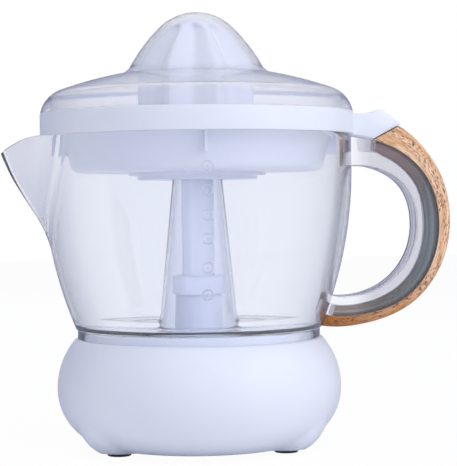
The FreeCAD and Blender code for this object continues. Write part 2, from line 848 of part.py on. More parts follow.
def jug_shell():
    corner = jug_floor_top + jug_wall
    middle = (jug_straight_height + corner) / 2
    outer_middle = (jug_straight_height + jug_foot_height) / 2
    flare_top = jug_floor_top + chimney_flare_height
    flare_mid = jug_floor_top + chimney_flare_height * chimney_flare_bend[1]
    flare_step = chimney_foot_radius + chimney_flare * chimney_flare_bend[0]
    inner_foot = chimney_foot_radius + chimney_flare - chimney_wall
    return spin([
        (jug_skirt_radius, ledge_height),
        (jug_skirt_radius, jug_foot_height),
        (jug_foot_radius, jug_foot_height),
        ((wall_radius(outer_middle), outer_middle), (jug_rim_radius, jug_straight_height)),
        (jug_rim_radius, jug_rim_height),
        (jug_rim_radius - jug_wall, jug_rim_height),
        (jug_rim_radius - jug_wall, jug_straight_height),
        ((wall_radius(middle, jug_wall), middle), (wall_radius(corner, jug_wall), corner)),
        (wall_radius(corner, jug_wall) - jug_wall, jug_floor_top),
        (chimney_foot_radius + chimney_flare, jug_floor_top),
        ((flare_step, flare_mid), (chimney_foot_radius, flare_top)),
        (chimney_top_radius, chimney_top),
        (chimney_top_radius - chimney_wall, chimney_top),
        (chimney_foot_radius - chimney_wall, flare_top),
        ((flare_step - chimney_wall, flare_mid), (inner_foot, jug_floor_top)),
        (inner_foot, jug_floor_underside),
        (jug_skirt_radius - jug_skirt_wall, jug_floor_underside),
        (jug_skirt_radius - jug_skirt_wall, ledge_height),
    ])


def spout_section(height, tip, half_angle, nose, root_depth):
    """Level section of the beak: a nose arc with a tangent side to each root inside the jug wall."""
    root = on_circle((0.0, 0.0), wall_radius(height) - root_depth, 180 + half_angle)
    centre = (nose - tip, 0.0)
    gap = math.hypot(root[0] - centre[0], root[1])
    turn = bearing(centre, root) - math.degrees(math.acos(nose / gap))
    touch = on_circle(centre, nose, turn)
    corners = [FreeCAD.Vector(x, y, height) for x, y in (root, touch, (-tip, 0.0))]
    mirrored = [FreeCAD.Vector(corner.x, -corner.y, height) for corner in corners]
    return Part.Wire([
        Part.LineSegment(corners[0], corners[1]).toShape(),
        Part.Arc(corners[1], corners[2], mirrored[1]).toShape(),
        Part.LineSegment(mirrored[1], mirrored[0]).toShape(),
        Part.LineSegment(mirrored[0], corners[0]).toShape(),
    ])


def spout(inset):
    """The beak's form, drawn inwards by the inset; a drawn-in one reaches through the jug wall."""
    sections = []
    root_depth = (jug_wall + 3 * inset) / 2
    for rise, reach, half_angle in spout_stations:
        height = jug_rim_height + rise
        tip = wall_radius(height) + reach
        swing = half_angle - math.degrees(inset / jug_rim_radius)
        share = half_angle / spout_stations[0][2]
        nose = max(spout_nose_radius * share, jug_wall / 2) - inset * share
        sections.append(spout_section(height, tip - inset, max(swing, half_angle / 2), nose, root_depth))
    return Part.makeLoft(sections, True, False)


def lip_cut():
    """Everything above the curved pouring edge of the beak."""
    top = jug_rim_height + spout_stations[0][0] + overcut
    lip = [(-jug_rim_radius - reach, jug_rim_height - drop) for reach, drop in spout_lip]
    ends = [lip[-1], (lip[-1][0], top), (lip[0][0], top), lip[0]]
    edges = [smooth(lip)]
    edges += [Part.LineSegment(upright(a), upright(b)).toShape() for a, b in zip(ends, ends[1:])]
    beak = across(Part.Face(Part.Wire(edges)), 2 * jug_rim_radius)
    return beak.fuse(cylinder(2 * jug_rim_radius, jug_rim_height, top))


def handle_curve(radii):
    return smooth([on_circle(handle_centre, r, a) for a, r in zip(handle_stations, radii)])


def handle_strip(inner, outer, head, width):
    """A band of the handle between two curves; head leads from the outer one's top to the inner one's."""
    inner_ends = [on_circle(handle_centre, inner[i], handle_stations[i]) for i in (0, -1)]
    outer_ends = [on_circle(handle_centre, outer[i], handle_stations[i]) for i in (0, -1)]
    corners = [outer_ends[0]] + head + [inner_ends[0]]
    edges = [handle_curve(inner), handle_curve(outer)]
    edges.append(Part.LineSegment(upright(inner_ends[1]), upright(outer_ends[1])).toShape())
    edges += [Part.LineSegment(upright(a), upright(b)).toShape() for a, b in zip(corners, corners[1:])]
    face = Part.Face(Part.Wire(Part.__sortEdges__(edges)))
    return across(face, width)


def jug_handle():
    """Clear channel of the handle, open on the outside, with its floor towards the fingers."""
    root = jug_rim_radius - jug_wall
    head = [grip_tip, (root, root_seat_height), (root, root_opening_height)]
    body = handle_strip(opening_radii, seat_radii, head, handle_width).cut(jug_envelope(0.0))
    deep = [r + channel_wall * 2 for r in seat_radii]
    start = jug_rim_radius + channel_wall
    pocket_head = [(start, root_seat_height + channel_wall * 2), (start, root_channel_height)]
    pocket = handle_strip(channel_radii, deep, pocket_head, handle_width - 2 * channel_wall)
    return body.cut(pocket.cut(jug_envelope(channel_wall)))


def jug():
    body = jug_shell().fuse(spout(0.0).cut(jug_envelope(-jug_wall / 2)))
    body = body.cut(spout(jug_wall))
    body = body.cut(lip_cut())
    return body.fuse(jug_handle())


def grip_insert():
    inner = [r + running_gap for r in channel_radii]
    outer = [r - running_gap for r in seat_radii]
    top = on_circle(handle_centre, seat_radii[0], handle_stations[0])
    slope = (grip_tip[1] - top[1]) / (grip_tip[0] - top[0])
    corner = grip_tip[1] + slope * (insert_start - grip_tip[0]) - fit_gap
    head = [(insert_start, corner), (insert_start, root_channel_height + running_gap)]
    width = handle_width - 2 * channel_wall - 2 * running_gap
    return handle_strip(inner, outer, head, width).cut(jug_envelope(channel_wall + fit_gap))


def grip_cover():
    inner = [r + running_gap for r in seat_radii]
    head = [(grip_tip[0] + running_gap, grip_tip[1] + running_gap)]
    body = handle_strip(inner, grip_radii, head, handle_width)
    rims = [edge for edge in body.Edges if on_grip_rim(edge)]
    return body.makeFillet(grip_round, rims).cut(jug_envelope(fit_gap))


def on_grip_rim(edge):
    middle = edge.valueAt((edge.FirstParameter + edge.LastParameter) / 2)
    reach = math.hypot(middle.x - handle_centre[0], middle.z - handle_centre[1])
    return reach > max(seat_radii) + grip_round / 2 and abs(middle.y) > handle_width / 2 - running_gap


def strainer():
    inner_top = basket_top_radius - basket_wall
    inner_foot = basket_foot_radius - basket_wall
    foot_height = basket_underside + basket_round
    flange_top = ring_bottom + basket_wall
    round_inner = basket_round - basket_wall
    outer_centre = (basket_foot_radius - basket_round, foot_height)
    collar_bore = chimney_radius(sump_underside) + play_gap
    collar_radius = collar_bore + collar_wall
    bowl = [
        (ring_radius, ring_bottom),
        (ring_radius, ring_top),
        (ring_radius - ring_wall, ring_top),
        (ring_radius - ring_wall, flange_top),
        (inner_top, flange_top),
        (inner_foot, foot_height),
        (on_circle(outer_centre, round_inner, -45), (inner_foot - round_inner, basket_floor_top)),
        (well_radius - basket_wall, basket_floor_top),
        (well_radius - basket_wall, well_underside + basket_wall),
        (sump_radius - basket_wall, well_underside + basket_wall),
        (sump_radius - basket_wall, sump_underside + basket_wall),
        (collar_radius, sump_underside + basket_wall),
        (collar_radius, collar_top),
        (collar_bore, collar_top),
        (collar_bore, sump_underside),
        (sump_radius, sump_underside),
        (sump_radius, well_underside),
        (well_radius, well_underside),
        (well_radius, basket_underside),
        (outer_centre[0], basket_underside),
        (on_circle(outer_centre, basket_round, -45), (basket_foot_radius, foot_height)),
        (basket_top_radius, ring_bottom),
    ]
    body = spin(bowl)
    fin = across(outline([
        (basket_foot_radius - basket_wall / 2, fin_bottom),
        (basket_top_radius, fin_bottom),
        (fin_radius, ring_bottom),
        (basket_top_radius - basket_wall / 2, ring_bottom),
    ]), fin_thickness)
    body = body.fuse([turned(fin, 360 * i / fin_count) for i in range(fin_count)])
    body = body.fuse(strainer_tab())
    slot = block((slot_inner_radius, -slot_width / 2, basket_underside - overcut),
                 (slot_outer_radius, slot_width / 2, basket_floor_top + overcut))
    return body.cut([turned(slot, 360 * i / slot_count) for i in range(slot_count)])


def strainer_tab():
    """Thumb tab over the top of the handle, cut to the ring's outside."""
    root = ring_radius - ring_wall
    lower = (grip_tip[0] - fit_gap, grip_tip[1] + fit_gap)
    grip_end = on_circle(handle_centre, grip_radii[0], handle_stations[0])
    nose = (grip_end[0] + tab_overhang, grip_end[1] + tab_overhang + fit_gap)
    top = [(ring_radius + reach, ring_top + rise) for reach, rise in (tab_dip, tab_peak)]
    edges = [smooth([(root, ring_top - overcut)] + top + [nose])]
    corners = [nose, lower, (root, ring_bottom), (root, ring_top - overcut)]
    edges += [Part.LineSegment(upright(a), upright(b)).toShape() for a, b in zip(corners, corners[1:])]
    tab = across(Part.Face(Part.Wire(edges)), tab_width)
    return tab.cut(cylinder(ring_radius - ring_wall / 2, ring_bottom - 4 * ring_wall, ring_top + ring_wall))


def dome_flank(inset):
    """Centre, radius and end angle of the dome's side arc, tangent to its cap at 45 degrees."""
    shoulder = on_circle((0.0, dome_top - dome_cap_radius), dome_cap_radius - inset, 45)
    root = (dome_root[0] - inset, dome_root[1])
    run, rise = root[0] - shoulder[0], root[1] - shoulder[1]
    radius = -(run ** 2 + rise ** 2) / (math.sqrt(2) * (run + rise))
    centre = on_circle(shoulder, -radius, 45)
    return centre, radius, bearing(centre, root)


def lid_crown_radius():
    """Radius of the low crown, so that it meets the lid's round edge without a corner."""
    drop = lid_crown_height - lid_edge_centre[1]
    reach = lid_edge_centre[0]
    return (reach ** 2 + drop ** 2 - lid_edge_round ** 2) / (2 * (drop - lid_edge_round))


def lid_profile(inset):
    """The lid's domed form, drawn inwards by the inset."""
    crown_radius = lid_crown_radius()
    crown_centre = (0.0, lid_crown_height - crown_radius)
    tilt = bearing(crown_centre, lid_edge_centre)
    round_radius = lid_edge_round - inset
    drop = ring_top - lid_edge_centre[1]
    edge_angle = math.degrees(math.asin(drop / round_radius))
    crown = crown_radius - inset
    foot_x = dome_foot_radius - inset / 2
    foot = (foot_x, crown_centre[1] + math.sqrt(crown ** 2 - foot_x ** 2))
    crown_middle = (lid_edge_centre[0] + foot_x) / 2
    on_crown = (crown_middle, crown_centre[1] + math.sqrt(crown ** 2 - crown_middle ** 2))
    cap_centre = (0.0, dome_top - dome_cap_radius)
    flank_centre, flank, flank_end = dome_flank(inset)
    return [
        (0.0, ring_top),
        on_circle(lid_edge_centre, round_radius, edge_angle),
        (on_circle(lid_edge_centre, round_radius, (edge_angle + tilt) / 2),
         on_circle(lid_edge_centre, round_radius, tilt)),
        (on_crown, foot),
        (dome_root[0] - inset, dome_root[1]),
        (on_circle(flank_centre, flank, (flank_end + 45) / 2), on_circle(flank_centre, flank, 45)),
        (on_circle(cap_centre, dome_cap_radius - inset, 67.5), (0.0, dome_top - inset)),
    ]


def lid():
    body = spin(lid_profile(0.0)).cut(spin(lid_profile(lid_wall)))
    lip_radius = ring_radius - ring_wall - fit_gap
    lip = tube(lip_radius, lip_radius - lid_lip_wall, ring_top - lid_lip_height, ring_top + 2 * lid_wall)
    return body.fuse(lip)


def cone_section(height, ridge, valley):
    edges = []
    pitch = 360 / cone_ribs
    for i in range(cone_ribs):
        middle = pitch * i + cone_rib_turn - 90
        half = cone_rib_land / 2
        land = [polar(ridge, middle + turn, height) for turn in (-half, 0.0, half)]
        hollow = polar(valley, middle + pitch / 2, height)
        following = polar(ridge, middle + pitch - half, height)
        edges.append(Part.Arc(*land).toShape())
        edges.append(Part.Arc(land[2], hollow, following).toShape())
    return Part.Wire(edges)


def cone_ridges():
    """Ridge points of the cone, a steady gap inside the lid's dome, from its tip to the dome's root."""
    inset = lid_wall + cone_gap
    cap_centre = (0.0, dome_top - dome_cap_radius)
    flank_centre, flank, flank_end = dome_flank(inset)
    ridges = [on_circle(cap_centre, dome_cap_radius - inset, angle) for angle in cone_cap_angles]
    ridges += [on_circle(flank_centre, flank, 45 + share * (flank_end - 45)) for share in cone_flank_shares]
    return ridges


def reaming_cone():
    ridges = cone_ridges()
    root = ridges[-1][0]
    crown = [cone_section(height, r, r - cone_flute_depth * (r / root) ** 2) for r, height in ridges]
    bottom = basket_floor_top + cone_lift
    foot = cone_section(bottom, root, root - cone_skirt_flute_depth)
    body = Part.makeLoft(crown, True, False).fuse(Part.makeLoft([crown[-1], foot], True, True))
    hollow = spin([
        (0.0, bottom - overcut),
        (cone_bore_radius, bottom - overcut),
        (cone_bore_radius, cone_bore_top),
        (cone_roof_radius, cone_roof_height),
        (0.0, cone_roof_height),
    ])
    body = body.cut(hollow)
    hub_bottom = spindle_shoulder + fit_gap
    body = body.fuse(cylinder(cone_hub_radius, hub_bottom, cone_roof_height + overcut))
    return body.cut(hexagon(spindle_hex + 4 * running_gap, hub_bottom - overcut, cone_socket_top))


shapes = {
    "base_housing": base_housing(),
    "base_plate": base_plate(),
    "base_foot_left": base_foot(foot_angles[0]),
    "base_foot_right": base_foot(foot_angles[1]),
    "base_foot_back": base_foot(foot_angles[2]),
    "plate_screws": plate_screws(),
    "cord_grommet": cord_grommet(),
    "gear_tray": gear_tray(),
    "gear_bridge": gear_bridge(),
    "gear_screws": gear_screws(),
    "idler_pin": idler_pin(),
    "idler_gear": idler_gear(),
    "output_gear": output_gear(),
    "rotor_pinion": rotor_pinion(),
    "rotor_shaft": rotor_shaft(),
    "rotor_magnet": rotor_magnet(),
    "stator_core": stator_core(),
    "bobbin_front": bobbin(-1),
    "bobbin_back": bobbin(1),
    "winding_front": winding(-1),
    "winding_back": winding(1),
    "motor_bracket_top": motor_bracket_top(),
    "motor_bracket_bottom": motor_bracket_bottom(),
    "motor_screws": motor_screws(),
    "shaft_bush": shaft_bush(),
    "drive_shaft": drive_shaft(),
    "switch_pusher": switch_pusher(),
    "return_spring": return_spring(),
    "switch_body": switch_body(),
    "switch_plunger": switch_plunger(),
    "drive_spindle": drive_spindle(),
    "jug": jug(),
    "grip_insert": grip_insert(),
    "grip_cover": grip_cover(),
    "strainer": strainer(),
    "lid": lid(),
    "reaming_cone": reaming_cone(),
}

# The finished part's origin is on the table, under the middle of its length from spout tip to handle.
spout_end = shapes["jug"].optimalBoundingBox().XMin
handle_end = shapes["grip_cover"].optimalBoundingBox().XMax
shift = FreeCAD.Vector(-(spout_end + handle_end) / 2, 0, 0)
for name, shape in shapes.items():
    shape.translate(shift)
    shape.exportStep("parts/" + name + ".step")
print("drive axis at X =", round(shift.x, 4))
print("least gap between the spring's turns", round(spring_gap(), 2))
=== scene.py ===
import bmesh
import bpy
import math
from mathutils import Matrix, Vector


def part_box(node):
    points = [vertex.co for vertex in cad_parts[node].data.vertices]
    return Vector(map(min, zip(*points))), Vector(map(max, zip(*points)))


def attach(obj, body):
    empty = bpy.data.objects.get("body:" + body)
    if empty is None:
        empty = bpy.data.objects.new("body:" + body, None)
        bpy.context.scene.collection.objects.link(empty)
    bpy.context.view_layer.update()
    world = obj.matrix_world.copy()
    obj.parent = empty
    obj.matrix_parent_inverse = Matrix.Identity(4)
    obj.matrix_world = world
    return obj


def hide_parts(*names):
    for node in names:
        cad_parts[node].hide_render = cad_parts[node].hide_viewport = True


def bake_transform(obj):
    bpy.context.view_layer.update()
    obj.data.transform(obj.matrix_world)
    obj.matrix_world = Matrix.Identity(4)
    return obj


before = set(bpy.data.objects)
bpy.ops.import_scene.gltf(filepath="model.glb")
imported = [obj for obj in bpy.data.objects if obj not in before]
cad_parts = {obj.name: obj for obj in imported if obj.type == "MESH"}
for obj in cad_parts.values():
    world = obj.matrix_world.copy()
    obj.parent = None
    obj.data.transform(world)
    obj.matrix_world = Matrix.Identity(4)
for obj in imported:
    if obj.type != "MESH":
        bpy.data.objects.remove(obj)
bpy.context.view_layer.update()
mm = 0.001
bushLow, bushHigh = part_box("shaft_bush")
axisX = (bushLow.x + bushHigh.x) / 2 / mm  # the drive axis, in mm
print("frame loaded, drive axis at x =", round(axisX, 2), "mm")


# colours and nodes

def hexColour(code):
    values = [int(code[i:i + 2], 16) / 255 for i in (1, 3, 5)]
    return [v / 12.92 if v < 0.04045 else ((v + 0.055) / 1.055) ** 2.4 for v in values] + [1.0]


def newMaterial(name):
    material = bpy.data.materials.new(name)
    material.use_nodes = True
    material.node_tree.nodes.clear()
    return material


def addNode(material, kind, settings=None, values=None, links=None):
    # settings belong to the node, values and links to its inputs; gives back its outputs
    node = material.node_tree.nodes.new("ShaderNode" + kind)
    for name, value in (settings or {}).items():
        setattr(node, name, value)
    for name, value in (values or {}).items():
        node.inputs[name].default_value = value
    for name, source in (links or {}).items():
        material.node_tree.links.new(source, node.inputs[name])
    return node.outputs


def setStops(ramp, stops):
    elements = ramp.color_ramp.elements
    while len(elements) < len(stops):
        elements.new(0.5)
    for element, (where, code) in zip(elements, stops):
        element.position = where
        element.color = hexColour(code)


def perMetre(size):
    return 1 / (size * mm)  # noise scale for a pattern of this many mm


def perMm(sizes):
    return [1 / size for size in sizes]  # mapping scale where the coordinates are in mm already


def solidFinish(name, look):
    # body colour with a slow drift, a fine surface grain that moves the roughness, and a shallow bump
    material = newMaterial(name)
    place = addNode(material, "TexCoord")["Object"]
    if "stretch" in look:
        place = addNode(material, "Mapping", values={"Scale": look["stretch"]}, links={"Vector": place})[0]
    drift = addNode(material, "TexNoise", values={"Scale": perMetre(look["driftMm"]), "Detail": 3.0},
                    links={"Vector": place})[0]
    grain = addNode(material, "TexNoise", values={"Scale": perMetre(look["grainMm"]), "Detail": 4.0},
                    links={"Vector": place})[0]
    colour = addNode(material, "Mix", {"data_type": "RGBA"},
                     {6: hexColour(look["colour"]), 7: hexColour(look["shade"])}, {0: drift})[2]
    low, high = look["roughness"] - look["spread"], look["roughness"] + look["spread"]
    rough = addNode(material, "MapRange", values={"To Min": low, "To Max": high}, links={"Value": grain})[0]
    bump = addNode(material, "Bump", values={"Strength": look["bump"], "Distance": look["depthMm"] * mm},
                   links={"Height": grain})[0]
    body = addNode(material, "BsdfPrincipled", values=look["shader"],
                   links={"Base Color": colour, "Roughness": rough, "Normal": bump})[0]
    addNode(material, "OutputMaterial", links={"Surface": body})
    return material


def clearFinish(name, look):
    # see-through, greyer where an upright wall is seen edge on, partly for the longer path through the
    # plastic and partly as painted reflection of grey surroundings; lamps and bounced light pass straight
    # through
    material = newMaterial(name)
    normal = addNode(material, "NewGeometry")["Normal"]
    level = addNode(material, "SeparateXYZ", links={"Vector": normal})["Z"]
    level = addNode(material, "Math", {"operation": "ABSOLUTE"}, links={0: level})[0]
    level = addNode(material, "Math", {"operation": "POWER"}, {1: look["levelPower"]}, {0: level})[0]
    upright = addNode(material, "Math", {"operation": "SUBTRACT"}, {0: 1.0}, {1: level})[0]
    # the edge colour is painted reflection: grey lavender surroundings mirrored where the wall is seen edge
    # on
    facing = addNode(material, "LayerWeight")["Facing"]
    edge = addNode(material, "Math", {"operation": "POWER"}, {1: look["edgePower"]}, {0: facing})[0]
    edge = addNode(material, "Math", {"operation": "MULTIPLY"}, links={0: edge, 1: upright})[0]
    colour = addNode(material, "Mix", {"data_type": "RGBA"},
                     {6: hexColour(look["colour"]), 7: hexColour(look["edge"])}, {0: edge})[2]
    place = addNode(material, "TexCoord")["Object"]
    sideways = addNode(material, "SeparateXYZ", links={"Vector": place})["X"]
    # where the plastic is thick, at the beak's tip and the handle, it is drawn greyer: partly its own tint
    # over the longer path, partly painted shade
    for start, end, code in look["ends"]:  # thicker plastic further out along x, in mm, reads greyer
        thickShade = addNode(material, "MapRange", values={"From Min": start * mm, "From Max": end * mm},
                        links={"Value": sideways})[0]
        colour = addNode(material, "Mix", {"data_type": "RGBA"}, {7: hexColour(code)},
                         {0: thickShade, 6: colour})[2]
    flow = addNode(material, "TexNoise", values={"Scale": perMetre(look["flowMm"]), "Detail": 2.0},
                   links={"Vector": place})[0]
    bump = addNode(material, "Bump", values={"Strength": look["bump"], "Distance": look["depthMm"] * mm},
                   links={"Height": flow})[0]
    body = addNode(material, "BsdfPrincipled", values=look["shader"],
                   links={"Base Color": colour, "Normal": bump})[0]
    through = addNode(material, "BsdfTransparent", values={"Color": hexColour(look["shadow"])})[0]
    path = addNode(material, "LightPath")
    lightRay = addNode(material, "Math", {"operation": "MAXIMUM"},
                       links={0: path["Is Shadow Ray"], 1: path["Is Diffuse Ray"]})[0]
    mixed = addNode(material, "MixShader", links={0: lightRay, 1: body, 2: through})[0]
    addNode(material, "OutputMaterial", links={"Surface": mixed})
    return material


# white ABS, injection moulded with a fine satin texture: soft wide highlights, a cool white
whiteAbs = solidFinish("whiteAbsMoulded", {
    "colour": "#e7ebf6", "shade": "#e2e7f4", "roughness": 0.3, "spread": 0.05, "driftMm": 40, "grainMm": 0.9,
    "bump": 0.05, "depthMm": 0.03, "shader": {"IOR": 1.54}})

# the same ABS from a polished mould: tighter highlights
glossAbs = solidFinish("whiteAbsPolished", {
    "colour": "#e9edf8", "shade": "#e3e7f5", "roughness": 0.24, "spread": 0.04, "driftMm": 30, "grainMm": 1.2,
    "bump": 0.04, "depthMm": 0.02, "shader": {"IOR": 1.54}})

# clear SAN, moulded in a polished tool: bright, with grey lavender edges where the wall turns away, a painted
# reflection in its colour
clearSan = clearFinish("clearSanMoulded", {
    "colour": "#f6f8fe", "edge": "#777a92", "edgePower": 2.2, "levelPower": 4.0, "flowMm": 28, "bump": 0.04,
    "depthMm": 0.3, "ends": ((-92, -106, "#eaebf3"), (68, 78, "#d6d6e0")), "shadow": "#fefeff",
    "shader": {"IOR": 1.5, "Roughness": 0.0, "Transmission Weight": 0.97}})

# the lid's SAN has a light lavender tint and is a little milky; its darker lavender edges are painted
# reflection
lidSan = clearFinish("clearSanTinted", {
    "colour": "#f8f9fd", "edge": "#5a5e84", "edgePower": 3.0, "levelPower": 4.0, "flowMm": 30, "bump": 0.03,
    "depthMm": 0.3, "ends": (), "shadow": "#fafafd",
    "shader": {"IOR": 1.5, "Roughness": 0.05, "Transmission Weight": 0.86}})

# soft black rubber, moulded: matt with a dusty bloom
blackRubber = solidFinish("blackRubberMoulded", {
    "colour": "#141416", "shade": "#26262a", "roughness": 0.72, "spread": 0.1, "driftMm": 6, "grainMm": 0.7,
    "bump": 0.2, "depthMm": 0.06, "shader": {"IOR": 1.52}})

# drawn steel for shafts, screws and the spring: bright with fine lines along the axis
drawnSteel = solidFinish("drawnSteel", {
    "colour": "#b9bbbe", "shade": "#a3a5a9", "roughness": 0.28, "spread": 0.08, "driftMm": 5, "grainMm": 0.5,
    "stretch": (1.0, 1.0, 0.08), "bump": 0.1, "depthMm": 0.02, "shader": {"Metallic": 1.0}})

# zinc plated sheet: a blue grey bloom on bright steel
zincSheet = solidFinish("zincPlatedSheet", {
    "colour": "#aeb4bb", "shade": "#9aa3ab", "roughness": 0.38, "spread": 0.1, "driftMm": 3, "grainMm": 0.8,
    "bump": 0.1, "depthMm": 0.02, "shader": {"Metallic": 1.0}})

# stacked core sheets under varnish: dark steel with level lines, drawn a little coarser than the sheets
coreSheets = solidFinish("varnishedCoreSheets", {
    "colour": "#6a6b70", "shade": "#4c4d52", "roughness": 0.45, "spread": 0.12, "driftMm": 0.8,
    "grainMm": 0.8, "stretch": (0.02, 0.02, 1.0), "bump": 0.5, "depthMm": 0.08, "shader": {"Metallic": 0.8}})

# ground ferrite: dark grey ceramic with a faint shine
groundFerrite = solidFinish("groundFerrite", {
    "colour": "#2b2b2f", "shade": "#38383d", "roughness": 0.5, "spread": 0.1, "driftMm": 4, "grainMm": 0.6,
    "bump": 0.15, "depthMm": 0.03, "shader": {"IOR": 1.6}})

# enamelled copper wire laid side by side: orange brown with lines along each turn
copperWire = solidFinish("enamelledCopperWire", {
    "colour": "#b5602c", "shade": "#8f4620", "roughness": 0.3, "spread": 0.1, "driftMm": 0.7, "grainMm": 0.7,
    "stretch": (1.0, 0.05, 0.05), "bump": 0.6, "depthMm": 0.1, "shader": {"Metallic": 0.7}})

# natural nylon, moulded: creamy and a little waxy
naturalNylon = solidFinish("naturalNylonMoulded", {
    "colour": "#e6e1d3", "shade": "#dcd6c4", "roughness": 0.42, "spread": 0.08, "driftMm": 12, "grainMm": 0.8,
    "bump": 0.08, "depthMm": 0.03, "shader": {"IOR": 1.53}})

# acetal, turned or moulded: clean white with a satin slip
satinAcetal = solidFinish("acetalMoulded", {
    "colour": "#eceae6", "shade": "#e2e0da", "roughness": 0.33, "spread": 0.06, "driftMm": 10, "grainMm": 0.7,
    "bump": 0.06, "depthMm": 0.02, "shader": {"IOR": 1.48}})

# black glass filled plastic of the switch: matt with a fine speckle
blackPlastic = solidFinish("blackPlasticMoulded", {
    "colour": "#1b1b1d", "shade": "#2a2a2c", "roughness": 0.5, "spread": 0.1, "driftMm": 2, "grainMm": 0.5,
    "bump": 0.2, "depthMm": 0.03, "shader": {"IOR": 1.55}})


def beechFinish(name, look):
    # light wood whose grain follows the bend; short dark pores lie along it
    material = newMaterial(name)
    along = addNode(material, "Attribute", {"attribute_name": "grain"})["Vector"]
    noise, share = {}, {}
    for part in ("bands", "fibres", "pores", "patches"):
        sizes, low, high, most = look[part]
        spot = addNode(material, "Mapping", values={"Scale": perMm(sizes)}, links={"Vector": along})[0]
        noise[part] = addNode(material, "TexNoise", values={"Scale": 1.0, "Detail": 3.0},
                              links={"Vector": spot})[0]
        share[part] = addNode(material, "MapRange",
                              values={"From Min": low, "From Max": high, "To Max": most},
                              links={"Value": noise[part]})[0]
    colour = addNode(material, "Mix", {"data_type": "RGBA"},
                     {6: hexColour(look["light"]), 7: hexColour(look["dark"])}, {0: share["bands"]})[2]
    length = addNode(material, "SeparateXYZ", links={"Vector": along})["X"]
    # painted shade: the lower end of the grip is browned over its last stretch
    lowerShade = addNode(material, "MapRange", values={"From Min": look["lowerShadeMm"], "From Max": 0.0},
                    links={"Value": length})[0]
    fleck = addNode(material, "Math", {"operation": "MULTIPLY"},
                    links={0: share["pores"], 1: share["patches"]})[0]
    for tint, amount in (("lowerShade", lowerShade), ("streak", share["fibres"]), ("pore", fleck)):
        colour = addNode(material, "Mix", {"data_type": "RGBA"}, {7: hexColour(look[tint])},
                         {0: amount, 6: colour})[2]
    height = addNode(material, "Math", {"operation": "SUBTRACT"}, links={0: noise["fibres"], 1: fleck})[0]
    bump = addNode(material, "Bump", values={"Strength": look["bump"], "Distance": look["depthMm"] * mm},
                   links={"Height": height})[0]
    low, high = look["roughness"]
    rough = addNode(material, "MapRange", values={"To Min": low, "To Max": high},
                    links={"Value": noise["fibres"]})[0]
    body = addNode(material, "BsdfPrincipled", values=look["shader"],
                   links={"Base Color": colour, "Roughness": rough, "Normal": bump})[0]
    addNode(material, "OutputMaterial", links={"Surface": body})
    return material


# light beech, sanded and lacquered: warm bands with short dark flecks, and painted shade that browns the
# lower end
# each layer: its marks' size in mm along, across and through the grip, the noise level where they begin
# and where they are full, and their strength; the pores are drawn coarser than real ones so that they show
beech = beechFinish("beechLacquered", {
    "light": "#f8d4b6", "dark": "#d9a273", "streak": "#9d6534", "pore": "#5c3419", "lowerShade": "#a5641f",
    "lowerShadeMm": 80.0, "bands": ((20.0, 2.0, 2.0), 0.35, 0.65, 1.0),
    "fibres": ((8.333, 0.5882, 0.5882), 0.5, 0.75, 0.55),
    "pores": ((2.222, 0.4545, 0.4545), 0.535, 0.585, 1.0), "patches": ((11.11, 2.5, 2.5), 0.36, 0.52, 1.0),
    "bump": 0.25, "depthMm": 0.05, "roughness": (0.3, 0.48), "shader": {"IOR": 1.5}})


def smokeFinish(name, look):
    # grey plastic with a painted reflection of the wooden cover browning both ends of the strip and painted
    # highlight lines along it; x of the grain coordinate runs along it in mm
    material = newMaterial(name)
    along = addNode(material, "Attribute", {"attribute_name": "grain"})["Vector"]
    length = addNode(material, "SeparateXYZ", links={"Vector": along})["X"]
    span = addNode(material, "MapRange", values={"From Max": look["lengthMm"]}, links={"Value": length})[0]
    # the ramp's brown ends are painted reflection of the wooden cover
    ramp = addNode(material, "ValToRGB", links={"Fac": span})[0]
    setStops(ramp.node, look["stops"])
    # painted highlights: pale lines along the strip stand in for the gloss on its rounded face
    sizes, low, high, most = look["lines"]
    spot = addNode(material, "Mapping", values={"Scale": perMm(sizes)}, links={"Vector": along})[0]
    lines = addNode(material, "TexNoise", values={"Scale": 1.0, "Detail": 1.0}, links={"Vector": spot})[0]
    lines = addNode(material, "MapRange", values={"From Min": low, "From Max": high, "To Max": most},
                    links={"Value": lines})[0]
    colour = addNode(material, "Mix", {"data_type": "RGBA"}, {7: hexColour(look["line"])},
                     {0: lines, 6: ramp})[2]
    haze = addNode(material, "TexNoise", values={"Scale": 1 / look["hazeMm"], "Detail": 2.0},
                   links={"Vector": along})[0]
    low, high = look["roughness"]
    rough = addNode(material, "MapRange", values={"To Min": low, "To Max": high}, links={"Value": haze})[0]
    body = addNode(material, "BsdfPrincipled", values=look["shader"],
                   links={"Base Color": colour, "Roughness": rough})[0]
    addNode(material, "OutputMaterial", links={"Surface": body})
    return material


# smoke grey styrene, moulded glossy: green grey in the bend, brown grey at the ends from painted reflection
# of the wood, pale painted highlight lines along it the highlight lines are given as the beech's layers are
smokeStyrene = smokeFinish("smokeGreyStyrene", {
    "lengthMm": 138, "line": "#8fa0a2", "lines": ((62.5, 20.0, 1.5385), 0.48, 0.68, 0.55), "hazeMm": 8.333,
    "roughness": (0.12, 0.22), "shader": {"IOR": 1.55}, "stops": (
        (0.0, "#7d5f4a"), (0.22, "#655f52"), (0.5, "#5e6c69"), (0.72, "#5f5c53"), (1.0, "#9b796c"))})
print("materials made:", len(bpy.data.materials))


# shapes, in mm round the drive axis

def cleanMesh(name, points, faces):
    mesh = bpy.data.meshes.new(name)
    mesh.from_pydata([(x * mm, y * mm, z * mm) for x, y, z in points], [], faces)
    shell = bmesh.new()
    shell.from_mesh(mesh)
    bmesh.ops.remove_doubles(shell, verts=shell.verts, dist=1e-7)
    bmesh.ops.dissolve_degenerate(shell, edges=shell.edges, dist=1e-8)
    bmesh.ops.recalc_face_normals(shell, faces=shell.faces)
    shell.to_mesh(mesh)
    shell.free()
    return mesh


